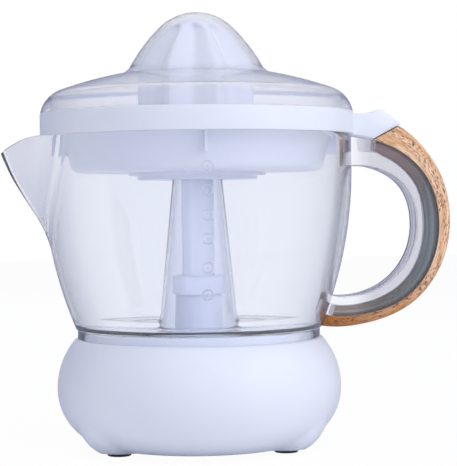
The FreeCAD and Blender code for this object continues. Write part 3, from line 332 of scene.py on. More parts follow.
def polar(radius, degrees, z=0.0):
    turn = math.radians(degrees)
    return Vector((radius * math.cos(turn), radius * math.sin(turn), z))


def polarMesh(name, angles, profileAt, loop=True):
    # one profile per angle; a loop closes on itself, an open profile ends on the axis
    points, faces = [], []
    for angle in angles:
        turn = math.radians(angle)
        points += [(axisX + r * math.cos(turn), r * math.sin(turn), z) for r, z in profileAt(angle)]
    count = len(points) // len(angles)
    for i in range(len(angles)):
        a, b = i * count, (i + 1) % len(angles) * count
        for j in range(count if loop else count - 1):
            k = (j + 1) % count
            faces.append((a + j, b + j, b + k, a + k))
    return cleanMesh(name, points, faces)


def sweepMesh(name, sections):
    count = len(sections[0])
    points = [point for section in sections for point in section]
    faces = [tuple(range(count)), tuple(range(len(points) - 1, len(points) - count - 1, -1))]
    for i in range(len(sections) - 1):
        for j in range(count):
            k = (j + 1) % count
            faces.append((i * count + j, i * count + k, (i + 1) * count + k, (i + 1) * count + j))
    return cleanMesh(name, points, faces)


def evenAngles(count):
    return [360 * i / count for i in range(count)]


def rounded(corners, steps, loop=True):
    # corners are (x, y, rounding); each becomes a short curve that takes less than half of either side
    points = []
    last = len(corners) - 1
    for i, (x, y, size) in enumerate(corners):
        if size == 0 or (not loop and i in (0, last)):
            points += [(x, y)] * (1 if size == 0 else steps + 1)
            continue
        here = Vector((x, y))
        before = Vector(corners[i - 1][:2]) - here
        after = Vector(corners[(i + 1) % len(corners)][:2]) - here
        start = here + before.normalized() * min(size, before.length * 0.45)
        end = here + after.normalized() * min(size, after.length * 0.45)
        for k in range(steps + 1):
            u = k / steps
            points.append(tuple(start * (1 - u) ** 2 + here * 2 * u * (1 - u) + end * u ** 2))
    return points


def arc(centre, radius, start, end, steps):
    turns = [math.radians(start + (end - start) * i / steps) for i in range(steps + 1)]
    return [(centre[0] + radius * math.cos(t), centre[1] + radius * math.sin(t)) for t in turns]


def sharp(points):
    return [(x, y, 0) for x, y in points]


def curveAt(table, x):
    # smooth curve through (x, y) pairs with rising x
    i = max(k for k in range(len(table) - 1) if k == 0 or table[k][0] <= x)
    slopes = []
    for k in (i, i + 1):
        low, high = table[max(k - 1, 0)], table[min(k + 1, len(table) - 1)]
        slopes.append((high[1] - low[1]) / (high[0] - low[0]))
    (x0, y0), (x1, y1) = table[i], table[i + 1]
    span = x1 - x0
    t = (x - x0) / span
    return ((2 * t ** 3 - 3 * t ** 2 + 1) * y0 + (t ** 3 - 2 * t ** 2 + t) * span * slopes[0]
            + (3 * t ** 2 - 2 * t ** 3) * y1 + (t ** 3 - t ** 2) * span * slopes[1])


def softMax(a, b, blendSize):
    h = max(0.0, blendSize - abs(a - b))
    return max(a, b) + h * h / (4 * blendSize)


def hexRadius(acrossFlats, angle):
    return acrossFlats / 2 / math.cos(math.radians((angle + 30) % 60 - 30))


def makePiece(name, mesh, body, material, replaced=(), sharpAngle=34):
    piece = bpy.data.objects.new(name, mesh)
    bpy.context.scene.collection.objects.link(piece)
    mesh.materials.append(material)
    mesh.shade_smooth()
    mesh.set_sharp_from_angle(angle=math.radians(sharpAngle))
    # a piece that crosses a joint has no body of its own
    if body:
        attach(piece, body)
    if replaced:
        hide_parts(*replaced)
    return piece


def combined(name, base, other, operation):
    # boolean of two meshes, read back as one new mesh
    holders = [bpy.data.objects.new(name + part, mesh) for part, mesh in (("Base", base), ("Tool", other))]
    for holder in holders:
        bpy.context.scene.collection.objects.link(holder)
    step = holders[0].modifiers.new("cut", "BOOLEAN")
    step.object, step.operation, step.solver = holders[1], operation, "EXACT"
    graph = bpy.context.evaluated_depsgraph_get()
    mesh = bpy.data.meshes.new_from_object(holders[0].evaluated_get(graph))
    mesh.name = name
    for holder in holders:
        bpy.data.objects.remove(holder)
    return mesh


# motor base: a bowl drawn in at the top, three foot lobes blended into its underside
base = {"radius": 76.4, "wideHeight": 33.0, "underside": 2.0, "wall": 2.4, "ledgeRadius": 66.4, "ledge": 59.6,
        "seatRadius": 61.9, "seat": 63.9, "plateHole": 43.9, "towerFoot": 13.2, "tower": 12.3,
        "towerTop": 87.0, "bore": 7.4, "lobeRadius": 22.6, "lobeDistance": 50.3, "lobeHeight": 21.6,
        "lobeBlend": 1.2, "lobeTop": 41.0, "lobeAngles": (-150, -30, 90), "columns": 240}
belly = base["wideHeight"] - base["underside"]  # radius of the bowl's lower arc


def baseArcs(inset):
    rise = base["ledge"] - inset - base["wideHeight"]
    drawIn = base["radius"] - base["ledgeRadius"]
    crown = ((base["ledge"] - base["wideHeight"]) ** 2 + drawIn ** 2) / (2 * drawIn)
    top = math.degrees(math.asin(rise / (crown - inset)))
    low = arc((base["radius"] - belly, base["wideHeight"]), belly - inset, -90, 0, 36)
    high = arc((base["radius"] - crown, base["wideHeight"]), crown - inset, 0, top, 18)
    return low + high[1:]


def lobeLift(point, normal):
    # how far a point of the bowl moves out along its normal to lie on the nearest lobe
    lift = -base["lobeBlend"]
    for angle in base["lobeAngles"]:
        away = point - polar(base["lobeDistance"], angle, base["lobeHeight"])
        b = normal.dot(away)
        rest = b * b - away.length_squared + base["lobeRadius"] ** 2
        if rest > 0:
            lift = max(lift, -b + math.sqrt(rest))
    return softMax(0.0, lift, base["lobeBlend"]) if lift > -base["lobeBlend"] else 0.0


def baseProfile(angle):
    heart = Vector((base["radius"] - belly, base["wideHeight"]))
    shaped = []
    for r, z in [(base["plateHole"], base["underside"])] + baseArcs(0.0):
        out = Vector((0, -1)) if r <= heart.x else (Vector((r, z)) - heart).normalized()
        if z < base["lobeTop"]:
            lift = lobeLift(polar(r, angle, z), polar(out.x, angle, out.y))
            r, z = r + out.x * lift, max(z + out.y * lift, base["underside"])
        shaped.append((r, z))
    inside = baseArcs(base["wall"])
    deck = base["seat"] - base["wall"]
    deckRadius = base["seatRadius"] - base["wall"]
    top = [(base["ledgeRadius"], base["ledge"], 0.9), (base["seatRadius"], base["ledge"], 0.5),
           (base["seatRadius"], base["seat"], 1.0), (base["towerFoot"], base["seat"], 1.6),
           (base["tower"], base["towerTop"], 0.8), (base["bore"], base["towerTop"], 0.4),
           (base["bore"], deck, 0), (deckRadius, deck, 0), (deckRadius, base["ledge"] - base["wall"], 0)]
    return rounded(sharp(shaped[:-1]) + top + sharp(inside[::-1][:-1])
                   + [(base["plateHole"], base["underside"] + base["wall"], 0)], 3)


housing = makePiece("baseHousing", polarMesh("baseHousing", evenAngles(base["columns"]), baseProfile), "base",
                    whiteAbs, ["base_housing"])

# rubber feet: low pads with a rounded edge, pegged into the lobes
foot = {"radius": 6.7, "bottomRadius": 6.1, "height": 2.0, "peg": 2.4, "pegTop": 4.2, "distance": 50.8,
        "columns": 48}
footLine = rounded([(0, 0, 0), (foot["bottomRadius"], 0, 0.5), (foot["radius"], foot["height"], 0.3),
                    (foot["peg"], foot["height"], 0), (foot["peg"], foot["pegTop"], 0.3),
                    (0, foot["pegTop"], 0)], 4, False)
for footName, footAngle in zip(("left", "right", "back"), base["lobeAngles"]):
    pad = polarMesh("foot" + footName.title(), evenAngles(foot["columns"]), lambda angle: footLine, False)
    pad.transform(Matrix.Translation(polar(foot["distance"], footAngle) * mm))
    makePiece("foot" + footName.title(), pad, "base", blackRubber, ["base_foot_" + footName])

# return spring: round wire on a helix
coil = {"wire": 1.0, "turns": 4, "stepsPerTurn": 36, "wireSides": 12}
coilLow, coilHigh = (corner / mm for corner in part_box("return_spring"))
coilMiddle = (coilLow + coilHigh) / 2
coilRadius = (coilHigh.x - coilLow.x - coil["wire"]) / 2
coilRise = coilHigh.z - coilLow.z - coil["wire"]


def coilSection(share):
    out = polar(1.0, 360 * coil["turns"] * share)
    ahead = Vector((-out.y, out.x, coilRise / (2 * math.pi * coilRadius * coil["turns"]))).normalized()
    up = out.cross(ahead)
    height = coilLow.z + coil["wire"] / 2 + coilRise * share
    middle = Vector((coilMiddle.x, coilMiddle.y, height)) + out * coilRadius
    ring = [math.radians(angle) for angle in evenAngles(coil["wireSides"])]
    return [tuple(middle + (out * math.cos(a) + up * math.sin(a)) * coil["wire"] / 2) for a in ring]


coilSteps = coil["turns"] * coil["stepsPerTurn"]
coilMesh = sweepMesh("returnSpring", [coilSection(i / coilSteps) for i in range(coilSteps + 1)])
springCoil = makePiece("returnSpring", coilMesh, None, drawnSteel, ["return_spring"], 60)
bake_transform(springCoil)
print("motor base made")


# drive spindle in the chimney: column, wide collar at its foot, hexagon on top
spindle = {"radius": 8.8, "collar": 14.1, "collarBottom": 83.0, "collarTop": 92.6, "shoulder": 162.0,
           "top": 186.0, "hexagon": 12.0, "socket": 6.66, "socketTop": 112.0, "skirt": 12.9,
           "skirtRoof": 90.1, "columns": 96}


def spindleProfile(angle):
    s = spindle
    six = hexRadius(s["hexagon"], angle)
    socket = hexRadius(s["socket"], angle)
    return rounded([
        (0, s["top"], 0), (six, s["top"], 0.8), (six, s["shoulder"], 0), (s["radius"], s["shoulder"], 0.6),
        (s["radius"], s["collarTop"], 1.0), (s["collar"], s["collarTop"], 0.8),
        (s["collar"], s["collarBottom"], 0.4), (s["skirt"], s["collarBottom"], 0.3),
        (s["skirt"], s["skirtRoof"], 0), (socket, s["skirtRoof"], 0), (socket, s["socketTop"], 0),
        (0, s["socketTop"], 0)], 4, False)


columnMesh = polarMesh("driveSpindle", evenAngles(spindle["columns"]), spindleProfile, False)
column = makePiece("driveSpindle", columnMesh, "spindle", glossAbs, ["drive_spindle"])


# jug: tapered wall with a beak, floor over a short skirt, chimney in the middle
# beak rows are (height, reach of the tip, half angle); the lip is (reach, height); lipEdge and floorCorner
# are small steps (sideways, up or down) that round the rim and the inside of the floor
jug = {"wall": 2.4, "rimRadius": 83.0, "rim": 168.0, "straight": 150.0, "footRadius": 66.0, "foot": 65.0,
       "skirtRadius": 65.2, "skirtWall": 3.0, "skirtBottom": 59.6, "floorUnder": 64.5, "floorTop": 66.9,
       "chimneyTop": 156.0, "chimneyTopRadius": 12.3, "chimneyFoot": 20.4, "flareHeight": 8.0, "flare": 4.0,
       "flareCurve": 1.3, "flareSteps": 8, "chimneyWall": 1.8, "rootBlend": 6.0, "dive": 0.08, "nose": 5.0,
       "beak": ((92.0, 62.0, 2.0), (112.0, 77.0, 3.0), (121.0, 83.4, 8.0), (134.0, 92.0, 16.0),
                (150.0, 101.2, 23.0), (172.0, 110.0, 28.0)),
       "lip": ((84.0, 168.0), (90.3, 166.9), (97.0, 164.2), (105.0, 159.6), (112.0, 154.6)),
       "lipStart": 0.5, "lipEdge": ((0.15, 0.12), (0.6, 0.0)), "cornerRise": 1.6,
       "floorCorner": ((0.2, 2.0), (1.2, 0.5), (3.6, 0.0)),
       "wallRows": 44, "wallColumns": 110, "beakColumns": 60, "beakStep": 0.8}


def wallRadius(z, inset=0.0):
    drop = jug["straight"] - jug["foot"]
    drawIn = jug["rimRadius"] - jug["footRadius"]
    radius = (drop ** 2 + drawIn ** 2) / (2 * drawIn)
    if z >= jug["straight"]:
        return jug["rimRadius"] - inset
    return jug["rimRadius"] - radius + math.sqrt((radius - inset) ** 2 - (z - jug["straight"]) ** 2)


def beakRadius(z, offAngle, inset):
    # two upright sides that meet in a rounded nose; each side is a straight line in plan
    row = max(z, jug["beak"][0][0])
    tip = curveAt([(h, t) for h, t, a in jug["beak"]], row) + jug["nose"] / 4
    half = math.radians(curveAt([(h, a) for h, t, a in jug["beak"]], row))
    root = wallRadius(z)
    lean = max(0.0, math.atan2(tip - root * math.cos(half), root * math.sin(half)))
    off = math.radians(abs(offAngle))
    past = max(0.0, off - half) * root  # mm past the side's root, where it dives under the wall
    off = min(off, half)
    reach = tip * math.cos(lean) - inset
    sides = [-reach / math.cos(off + turn) for turn in (-lean, lean)]
    return -softMax(*sides, jug["nose"]) - jug["dive"] * past ** 2


def jugRadius(z, offAngle, inset):
    return softMax(wallRadius(z, inset), beakRadius(z, offAngle, inset), jug["rootBlend"])


def lipHeight(offAngle, inset):
    z = jug["rim"]
    first, last = jug["lip"][0][0], jug["lip"][-1][0]
    for i in range(12):  # settles where the wall meets the lip's curve
        x = jugRadius(z, offAngle, inset) * math.cos(math.radians(offAngle))
        z = (z + (jug["rim"] if x <= first else curveAt(jug["lip"], min(x, last)))) / 2
    return z


def jugProfile(angle):
    off = angle % 360 - 180
    wall, rows = jug["wall"], jug["wallRows"]
    outerTop, innerTop = lipHeight(off, 0.0), lipHeight(off, wall)
    corner = jug["floorTop"] + wall + jug["cornerRise"]
    outerEnd, innerEnd = outerTop - jug["lipStart"], innerTop - jug["lipStart"]
    outer = [jug["foot"] + (outerEnd - jug["foot"]) * i / rows for i in range(1, rows + 1)]
    inner = [innerEnd - (innerEnd - corner) * i / rows for i in range(rows + 1)]
    outRim, inRim = jugRadius(outerTop, off, 0.0), jugRadius(innerTop, off, wall)
    floorRadius = wallRadius(corner, wall)
    chimney, thin = jug["chimneyFoot"], jug["chimneyWall"]
    steps = [i / jug["flareSteps"] for i in range(jug["flareSteps"] + 1)]
    flareOut = [(chimney + jug["flare"] * (1 - u) ** 2,
                 jug["floorTop"] + jug["flareHeight"] * u ** jug["flareCurve"]) for u in steps]
    skirtInside = jug["skirtRadius"] - jug["skirtWall"]
    corners = [(jug["skirtRadius"], jug["skirtBottom"], 0.7), (jug["skirtRadius"], jug["foot"], 0.3),
               (jug["footRadius"], jug["foot"], 0.4)]
    corners += sharp([(jugRadius(z, off, 0.0), z) for z in outer])
    corners += [(outRim - step, outerTop - drop, 0) for step, drop in jug["lipEdge"]]
    corners += [(inRim + step, innerTop - drop, 0) for step, drop in reversed(jug["lipEdge"])]
    corners += sharp([(jugRadius(z, off, wall), z) for z in inner])
    corners += [(floorRadius - step, jug["floorTop"] + rise, 0) for step, rise in jug["floorCorner"]]
    corners += sharp(flareOut)
    corners += [(jug["chimneyTopRadius"], jug["chimneyTop"], 0.5),
                (jug["chimneyTopRadius"] - thin, jug["chimneyTop"], 0.5)]
    corners += [(r - thin, z, 0) for r, z in reversed(flareOut)]
    corners += [(chimney + jug["flare"] - thin, jug["floorUnder"], 0.6),
                (skirtInside, jug["floorUnder"], 0.8), (skirtInside, jug["skirtBottom"], 0.6)]
    return rounded(corners, 3)


# columns stand closer together round the beak
beakHalf = jug["beakStep"] * jug["beakColumns"]
beakAngles = [180 + jug["beakStep"] * i for i in range(-jug["beakColumns"], jug["beakColumns"] + 1)]
wallStep = (360 - 2 * beakHalf) / jug["wallColumns"]
wallAngles = [180 + beakHalf + wallStep * i for i in range(1, jug["wallColumns"])]
jugBody = polarMesh("jugBody", beakAngles + wallAngles, jugProfile)

# handle: a clear channel open to the outside; radii are from its own centre at each angle
# at its foot and head it runs into the jug by stops of its own: finger side, channel floor, seat of the cover
handle = {"centre": (79.0, 120.0), "width": 22.0, "channelWall": 2.4, "leastFloor": 0.2, "leastFlange": 0.05,
          "rows": 72, "footRows": 2, "start": -102, "end": 60, "angles": (-104, -78, -45, 0, 30, 60),
          "opening": (39.6, 39.1, 39.1, 38.4, 38.0, 34.2), "channel": (44.0, 43.5, 44.0, 42.4, 43.0, 41.3),
          "seat": (50.2, 49.7, 51.8, 50.8, 50.6, 48.2), "grip": (57.0, 55.5, 57.2, 57.9, 59.3, 60.8),
          "foot": (((70.6, 81.7), (69.6, 77.4), (67.6, 71.4)),),
          "head": (((92.6, 150.6), (95.9, 157.9), (98.8, 163.4)),
                   ((89.2, 151.1), (91.2, 158.5), (94.6, 164.9)),
                   ((85.8, 151.2), (86.2, 158.6), (87.0, 165.5)),
                   ((85.2, 151.2), (85.3, 165.6), (85.4, 165.7)),
                   ((81.2, 151.2), (81.2, 165.8), (81.2, 165.9)))}


def handlePoint(curve, angle, offset=0.0):
    reach = curveAt(list(zip(handle["angles"], handle[curve])), angle) + offset
    turn = math.radians(angle)
    x, z = handle["centre"]
    return Vector((x + reach * math.cos(turn), z + reach * math.sin(turn)))


def stopsFrom(rows):
    return [tuple(Vector(point) for point in row) for row in rows]


def crossSection(start, end, corners, steps):
    # corners are (mm along the way from start to end, sideways, rounding)
    way = (end - start).normalized()
    return [(axisX + start.x + way.x * u, y, start.y + way.y * u) for u, y in rounded(corners, steps)]


def channelSection(inner, floor, outer):
    half, wall = handle["width"] / 2, handle["channelWall"]
    high = (outer - inner).length
    deep = (floor - inner).dot((outer - inner).normalized())
    deep = max(handle["leastFloor"], min(deep, high - handle["leastFlange"]))
    return crossSection(inner, outer, [
        (0, -half, 1.8), (high, -half, 0.6), (high, wall - half, 0.5), (deep, wall - half, 0.7),
        (deep, half - wall, 0.7), (high, half - wall, 0.5), (high, half, 0.6), (0, half, 1.8)], 5)


handleSweep = handle["end"] - handle["start"]
handleTurns = [handle["start"] + handleSweep * i / handle["rows"] for i in range(handle["rows"] + 1)]
channelStops = stopsFrom(handle["foot"])
channelStops += [[handlePoint(curve, turn) for curve in ("opening", "channel", "seat")]
                 for turn in handleTurns[handle["footRows"]:]]  # the foot's stop stands for the first rows
channelStops += stopsFrom(handle["head"])
channel = sweepMesh("handleChannel", [channelSection(*stop) for stop in channelStops])
jugMesh = combined("jugClear", jugBody, channel, "UNION")
makePiece("jugClear", jugMesh, "jug", clearSan, ["jug"], 30)
print("jug made,", len(jugMesh.polygons), "faces")


def grainMarked(mesh, sections):
    # mm along the strip, across it and through it, kept on every point for the wood grain
    mesh.attributes.new("grain", "FLOAT_VECTOR", "POINT")
    middles = [sum((Vector(p) for p in section), Vector()) / len(section) for section in sections]
    lengths = [0.0]
    for a, b in zip(middles, middles[1:]):
        lengths.append(lengths[-1] + (b - a).length)
    values = []
    for vertex in mesh.vertices:
        point = vertex.co / mm
        near = min(range(len(middles)), key=lambda k: (middles[k] - point).length_squared)
        ahead = (middles[min(near + 1, len(middles) - 1)] - middles[max(near - 1, 0)]).normalized()
        step = point - middles[near]
        side = Vector((ahead.z, 0, -ahead.x))
        values += [lengths[near] + step.dot(ahead), point.y, step.dot(side)]
    mesh.attributes["grain"].data.foreach_set("vector", values)
    return lengths[-1]


def stripSection(inner, outer, strip):
    high = (outer - inner).length
    half, edge, crown = strip["width"] / 2, strip["edge"], strip["crown"]
    return crossSection(inner, outer, [
        (0, -half, strip["inside"]), (high - crown, -half, edge), (high, 0, half), (high - crown, half, edge),
        (0, half, strip["inside"])], 6)


# grey insert in the channel
insert = {"width": 17.0, "inside": 3.2, "edge": 3.0, "crown": 0.01, "gap": 0.1, "from": -97,
          "foot": (((73.3, 76.5), (71.3, 70.2)),),
          "head": (((97.6, 157.3), (99.4, 163.0)), ((95.6, 158.8), (95.7, 164.3)))}
insertStops = stopsFrom(insert["foot"])
insertStops += [(handlePoint("channel", turn, insert["gap"]), handlePoint("seat", turn, -insert["gap"]))
                for turn in handleTurns if turn > insert["from"]]
insertStops += stopsFrom(insert["head"])
insertSections = [stripSection(*stop, insert) for stop in insertStops]
insertMesh = sweepMesh("gripInsert", insertSections)
print("insert length", round(grainMarked(insertMesh, insertSections), 1), "mm")
makePiece("gripInsert", insertMesh, "jug", smokeStyrene, ["grip_insert"])

# wooden cover on the outside, cut square to the thumb tab at its top
# foot is the angle of its lower end on the seat and on the grip curve; the top's cut is spread over both
cover = {"width": handle["width"], "inside": 0.4, "edge": 3.6, "crown": 0.8, "gap": 0.1, "from": -100,
         "to": 42, "foot": (-101.4, -103.4), "seatTurns": (48, 54, 60),
         "seatTail": ((98.9, 163.5), (94.9, 165.1)), "gripTurns": (45.5, 49.2, 52.9, 56.6, 60)}
coverTurns = [(turn, turn) for turn in handleTurns if cover["from"] < turn < cover["to"]]
coverStops = [(handlePoint("seat", low, cover["gap"]), handlePoint("grip", high))
              for low, high in [cover["foot"]] + coverTurns]
coverTail = [handlePoint("seat", turn, cover["gap"]) for turn in cover["seatTurns"]]
coverTail += [Vector(point) for point in cover["seatTail"]]
coverStops += zip(coverTail, [handlePoint("grip", turn) for turn in cover["gripTurns"]])
coverSections = [stripSection(*stop, cover) for stop in coverStops]
coverMesh = sweepMesh("gripCover", coverSections)
grainMarked(coverMesh, coverSections)
makePiece("gripCover", coverMesh, "jug", beech, ["grip_cover"])

# level marks: small raised rings with a dot, down the front of the jug
marks = {"heights": (150.0, 138.3, 126.0, 114.1, 99.8, 86.0), "ring": 2.6, "wire": 0.32, "dot": 0.45,
         "rise": 0.7, "turns": 32, "sides": 10}


def markMesh():
    points, faces = [], []
    turns, sides = marks["turns"], marks["sides"]
    # middle of the wire, half its width and its rise, for the ring and for the dot
    shapes = ((marks["ring"], marks["wire"], marks["wire"]),
              (marks["dot"] / 2, marks["dot"] / 2, marks["dot"]))
    for height in marks["heights"]:
        for reach, width, rise in shapes:
            start = len(points)
            for i in range(turns):
                a = 2 * math.pi * i / turns
                for j in range(sides):
                    b = 2 * math.pi * j / sides
                    flat = reach + width * math.cos(b)
                    x, z = flat * math.cos(a), height + flat * math.sin(a)
                    out = math.sqrt(wallRadius(z) ** 2 - x * x) + rise * marks["rise"] * math.sin(b)
                    points.append((axisX + x, -out, z))
            for i in range(turns):
                a, b = start + i * sides, start + (i + 1) % turns * sides
                for j in range(sides):
                    k = (j + 1) % sides
                    faces.append((a + j, b + j, b + k, a + k))
    return cleanMesh("levelMarks", points, faces)


makePiece("levelMarks", markMesh(), "jug", clearSan)
print("handle and level marks made")


# strainer: ring on the jug's rim, basket with slots, collar round the chimney, fins and a thumb tab
strainer = {"ring": 84.18, "ringWall": 2.4, "bottom": 168.0, "top": 180.3, "wall": 2.0, "basketTop": 71.6,
            "basketFoot": 67.4, "basketUnder": 148.5, "basketRound": 4.6, "well": 37.0, "wellUnder": 146.6,
            "sump": 32.4, "sumpUnder": 144.4, "collar": 15.9, "collarTop": 160.0, "slots": 36,
            "slotWidth": 1.8, "slotReach": (40.5, 59.5), "slotOver": 1.0, "fins": 4, "finReach": 76.4,
            "finWidth": 1.8, "finBottom": 157.5, "finSink": 0.6, "finOver": 0.8, "columns": 216}


def strainerProfile(angle):
    s = strainer
    w = s["wall"]
    return rounded([
        (s["ring"], s["bottom"], 0.7), (s["ring"], s["top"], 0.7), (s["ring"] - s["ringWall"], s["top"], 0.6),
        (s["ring"] - s["ringWall"], s["bottom"] + w, 0.8), (s["basketTop"] - w, s["bottom"] + w, 1.2),
        (s["basketFoot"] - w, s["basketUnder"] + w, 3.0), (s["well"] - w, s["basketUnder"] + w, 0.6),
        (s["well"] - w, s["wellUnder"] + w, 0.5), (s["sump"] - w, s["wellUnder"] + w, 0.5),
        (s["sump"] - w, s["sumpUnder"] + w, 0.5), (s["collar"] + w, s["sumpUnder"] + w, 1.0),
        (s["collar"] + w, s["collarTop"], 0.6), (s["collar"], s["collarTop"], 0.6),
        (s["collar"], s["sumpUnder"], 0.4), (s["sump"], s["sumpUnder"], 0.6),
        (s["sump"], s["wellUnder"], 0.3), (s["well"], s["wellUnder"], 0.6),
        (s["well"], s["basketUnder"], 0.3), (s["basketFoot"], s["basketUnder"], s["basketRound"]),
        (s["basketTop"], s["bottom"], 0.6)], 5)


def spokesMesh(name, count, width, reach, heights):
    # equal boxes round the drive axis; reach and heights are (from, to)
    sides = ((0, 1, 3, 2), (4, 6, 7, 5), (0, 4, 5, 1), (2, 3, 7, 6), (0, 2, 6, 4), (1, 5, 7, 3))
    points, faces = [], []
    for angle in evenAngles(count):
        c, s = math.cos(math.radians(angle)), math.sin(math.radians(angle))
        faces += [tuple(len(points) + i for i in side) for side in sides]
        points += [(axisX + x * c - y * s, x * s + y * c, z)
                   for x in reach for y in (-width / 2, width / 2) for z in heights]
    return cleanMesh(name, points, faces)


slotHeights = (strainer["basketUnder"] - strainer["slotOver"],
               strainer["basketUnder"] + strainer["wall"] + strainer["slotOver"])
slots = spokesMesh("slots", strainer["slots"], strainer["slotWidth"], strainer["slotReach"], slotHeights)
fins = spokesMesh("fins", strainer["fins"], strainer["finWidth"],
                  (strainer["basketFoot"] - strainer["finSink"], strainer["finReach"]),
                  (strainer["finBottom"], strainer["bottom"] + strainer["finOver"]))
basket = polarMesh("basket", evenAngles(strainer["columns"]), strainerProfile)
basket = combined("basketSlotted", basket, slots, "DIFFERENCE")
basket = combined("basketFinned", basket, fins, "UNION")

# thumb tab over the handle: outline seen from the front; edge is (mm from its side, mm drawn in)
tab = {"width": 24.0, "taper": 0.008, "root": 84.0, "edge": ((0.0, 1.0), (0.3, 0.45), (1.0, 0.0)),
       "top": ((83.0, 179.3), (86.0, 179.1), (89.6, 179.0), (93.5, 179.9), (97.0, 181.1), (99.4, 181.0),
               (102.0, 179.3), (105.6, 176.6), (109.0, 173.9), (109.4, 173.2)),
       "under": ((108.6, 172.75), (94.5, 165.3), (92.0, 166.0), (83.0, 168.0))}


def tabSection(side, inset):
    outline = [Vector(point) for point in tab["top"] + tab["under"]]
    middle = sum(outline, Vector((0, 0))) / len(outline)
    points = []
    for point in outline:
        drawn = inset if point.x > tab["root"] else 0.0
        spot = point - (point - middle).normalized() * drawn
        slim = 1 - tab["taper"] * max(0.0, point.x - strainer["ring"])
        points.append((axisX + spot.x, side * slim, spot.y))
    return points


tabSides = [(step - tab["width"] / 2, inset) for step, inset in tab["edge"]]
tabSides += [(tab["width"] / 2 - step, inset) for step, inset in reversed(tab["edge"])]
tabMesh = sweepMesh("thumbTab", [tabSection(side, inset) for side, inset in tabSides])
basket = combined("strainerWhite", basket, tabMesh, "UNION")
makePiece("strainerWhite", basket, "strainer", whiteAbs, ["strainer"], 30)
print("strainer made,", len(basket.polygons), "faces")


# lid: round edge, low crown, high dome over the cone, lip inside the ring
lid = {"wall": 1.8, "edgeRound": 16.0, "edge": (68.2, 177.5), "crownTop": 205.25, "domeRoot": (36.3, 204.2),
       "domeFoot": 39.6, "cap": 28.0, "top": 234.4, "lipOuter": 81.5, "lipInner": 79.7, "lipBottom": 177.1,
       "lipGap": 0.4, "seatGap": 0.05, "columns": 200}
diagonal = math.sqrt(0.5)  # the dome's cap passes into its flank at 45 degrees


def domeFlank(inset):
    cap = (lid["cap"] - inset) * diagonal
    shoulder = (cap, lid["top"] - lid["cap"] + cap)
    root = (lid["domeRoot"][0] - inset, lid["domeRoot"][1])
    run, rise = root[0] - shoulder[0], root[1] - shoulder[1]
    radius = -(run ** 2 + rise ** 2) / (math.sqrt(2) * (run + rise))
    centre = (shoulder[0] - radius * diagonal, shoulder[1] - radius * diagonal)
    return centre, radius, math.degrees(math.atan2(root[1] - centre[1], root[0] - centre[0]))


def domeLine(inset, steps):
    # from the top of the dome to its root
    centre, radius, end = domeFlank(inset)
    return (arc((0, lid["top"] - lid["cap"]), lid["cap"] - inset, 90, 45, steps)
            + arc(centre, radius, 45, end, steps)[1:])


def lidLine(inset):
    drop = lid["crownTop"] - lid["edge"][1]
    crown = (lid["edge"][0] ** 2 + drop ** 2 - lid["edgeRound"] ** 2) / (2 * (drop - lid["edgeRound"]))
    crownMiddle = (0.0, lid["crownTop"] - crown)
    crown -= inset
    tilt = math.degrees(math.atan2(lid["edge"][1] - crownMiddle[1], lid["edge"][0]))
    start = math.degrees(math.acos((lid["domeFoot"] - inset / 2) / crown))
    edgeEnd = math.degrees(math.asin((strainer["top"] - lid["edge"][1]) / (lid["edgeRound"] - inset)))
    return (domeLine(inset, 16) + arc(crownMiddle, crown, start, tilt, 14)
            + arc(lid["edge"], lid["edgeRound"] - inset, tilt, edgeEnd, 18)[1:])


def lidProfile(angle):
    outer = lidLine(0.0)
    inner = [(r, z) for r, z in lidLine(lid["wall"]) if r < lid["lipInner"] - lid["lipGap"]]
    bottom = strainer["top"] + lid["seatGap"]
    lip = [(outer[-1][0], bottom, 0.3), (lid["lipOuter"], bottom, 0.3),
           (lid["lipOuter"], lid["lipBottom"], 0.5), (lid["lipInner"], lid["lipBottom"], 0.5)]
    return rounded(sharp(outer[:-1]) + lip + sharp(inner[::-1]), 4, False)


lidMesh = polarMesh("lidClear", evenAngles(lid["columns"]), lidProfile, False)
makePiece("lidClear", lidMesh, "lid", lidSan, ["lid"], 40)


# reaming cone: eight sharp ridges with scooped flutes between them, hollow, with a hexagon socket
cone = {"ribs": 8, "ribTurn": 15.7, "gap": 1.6, "hollow": 4.6, "hollowFade": 0.6, "land": 0.02,
        "bottom": 151.8, "bore": 26.0, "boreTop": 198.0, "roof": 13.0, "roofTop": 212.0, "hub": 12.0,
        "hubBottom": 162.3, "socket": 12.24, "socketTop": 192.0, "facetTop": 228.0, "arch": 2.5,
        "facetFade": 3.5, "skirtRows": 12, "columnsPerRib": 30}


def facetRadius(r, across, extra):
    # flat side between two ridges, hollowed a little more in its middle
    half = math.pi / cone["ribs"]
    chord = r * math.cos(half) / math.cos(half * (1 - across))
    return chord - extra * math.sin(across * math.pi / 2) ** 2


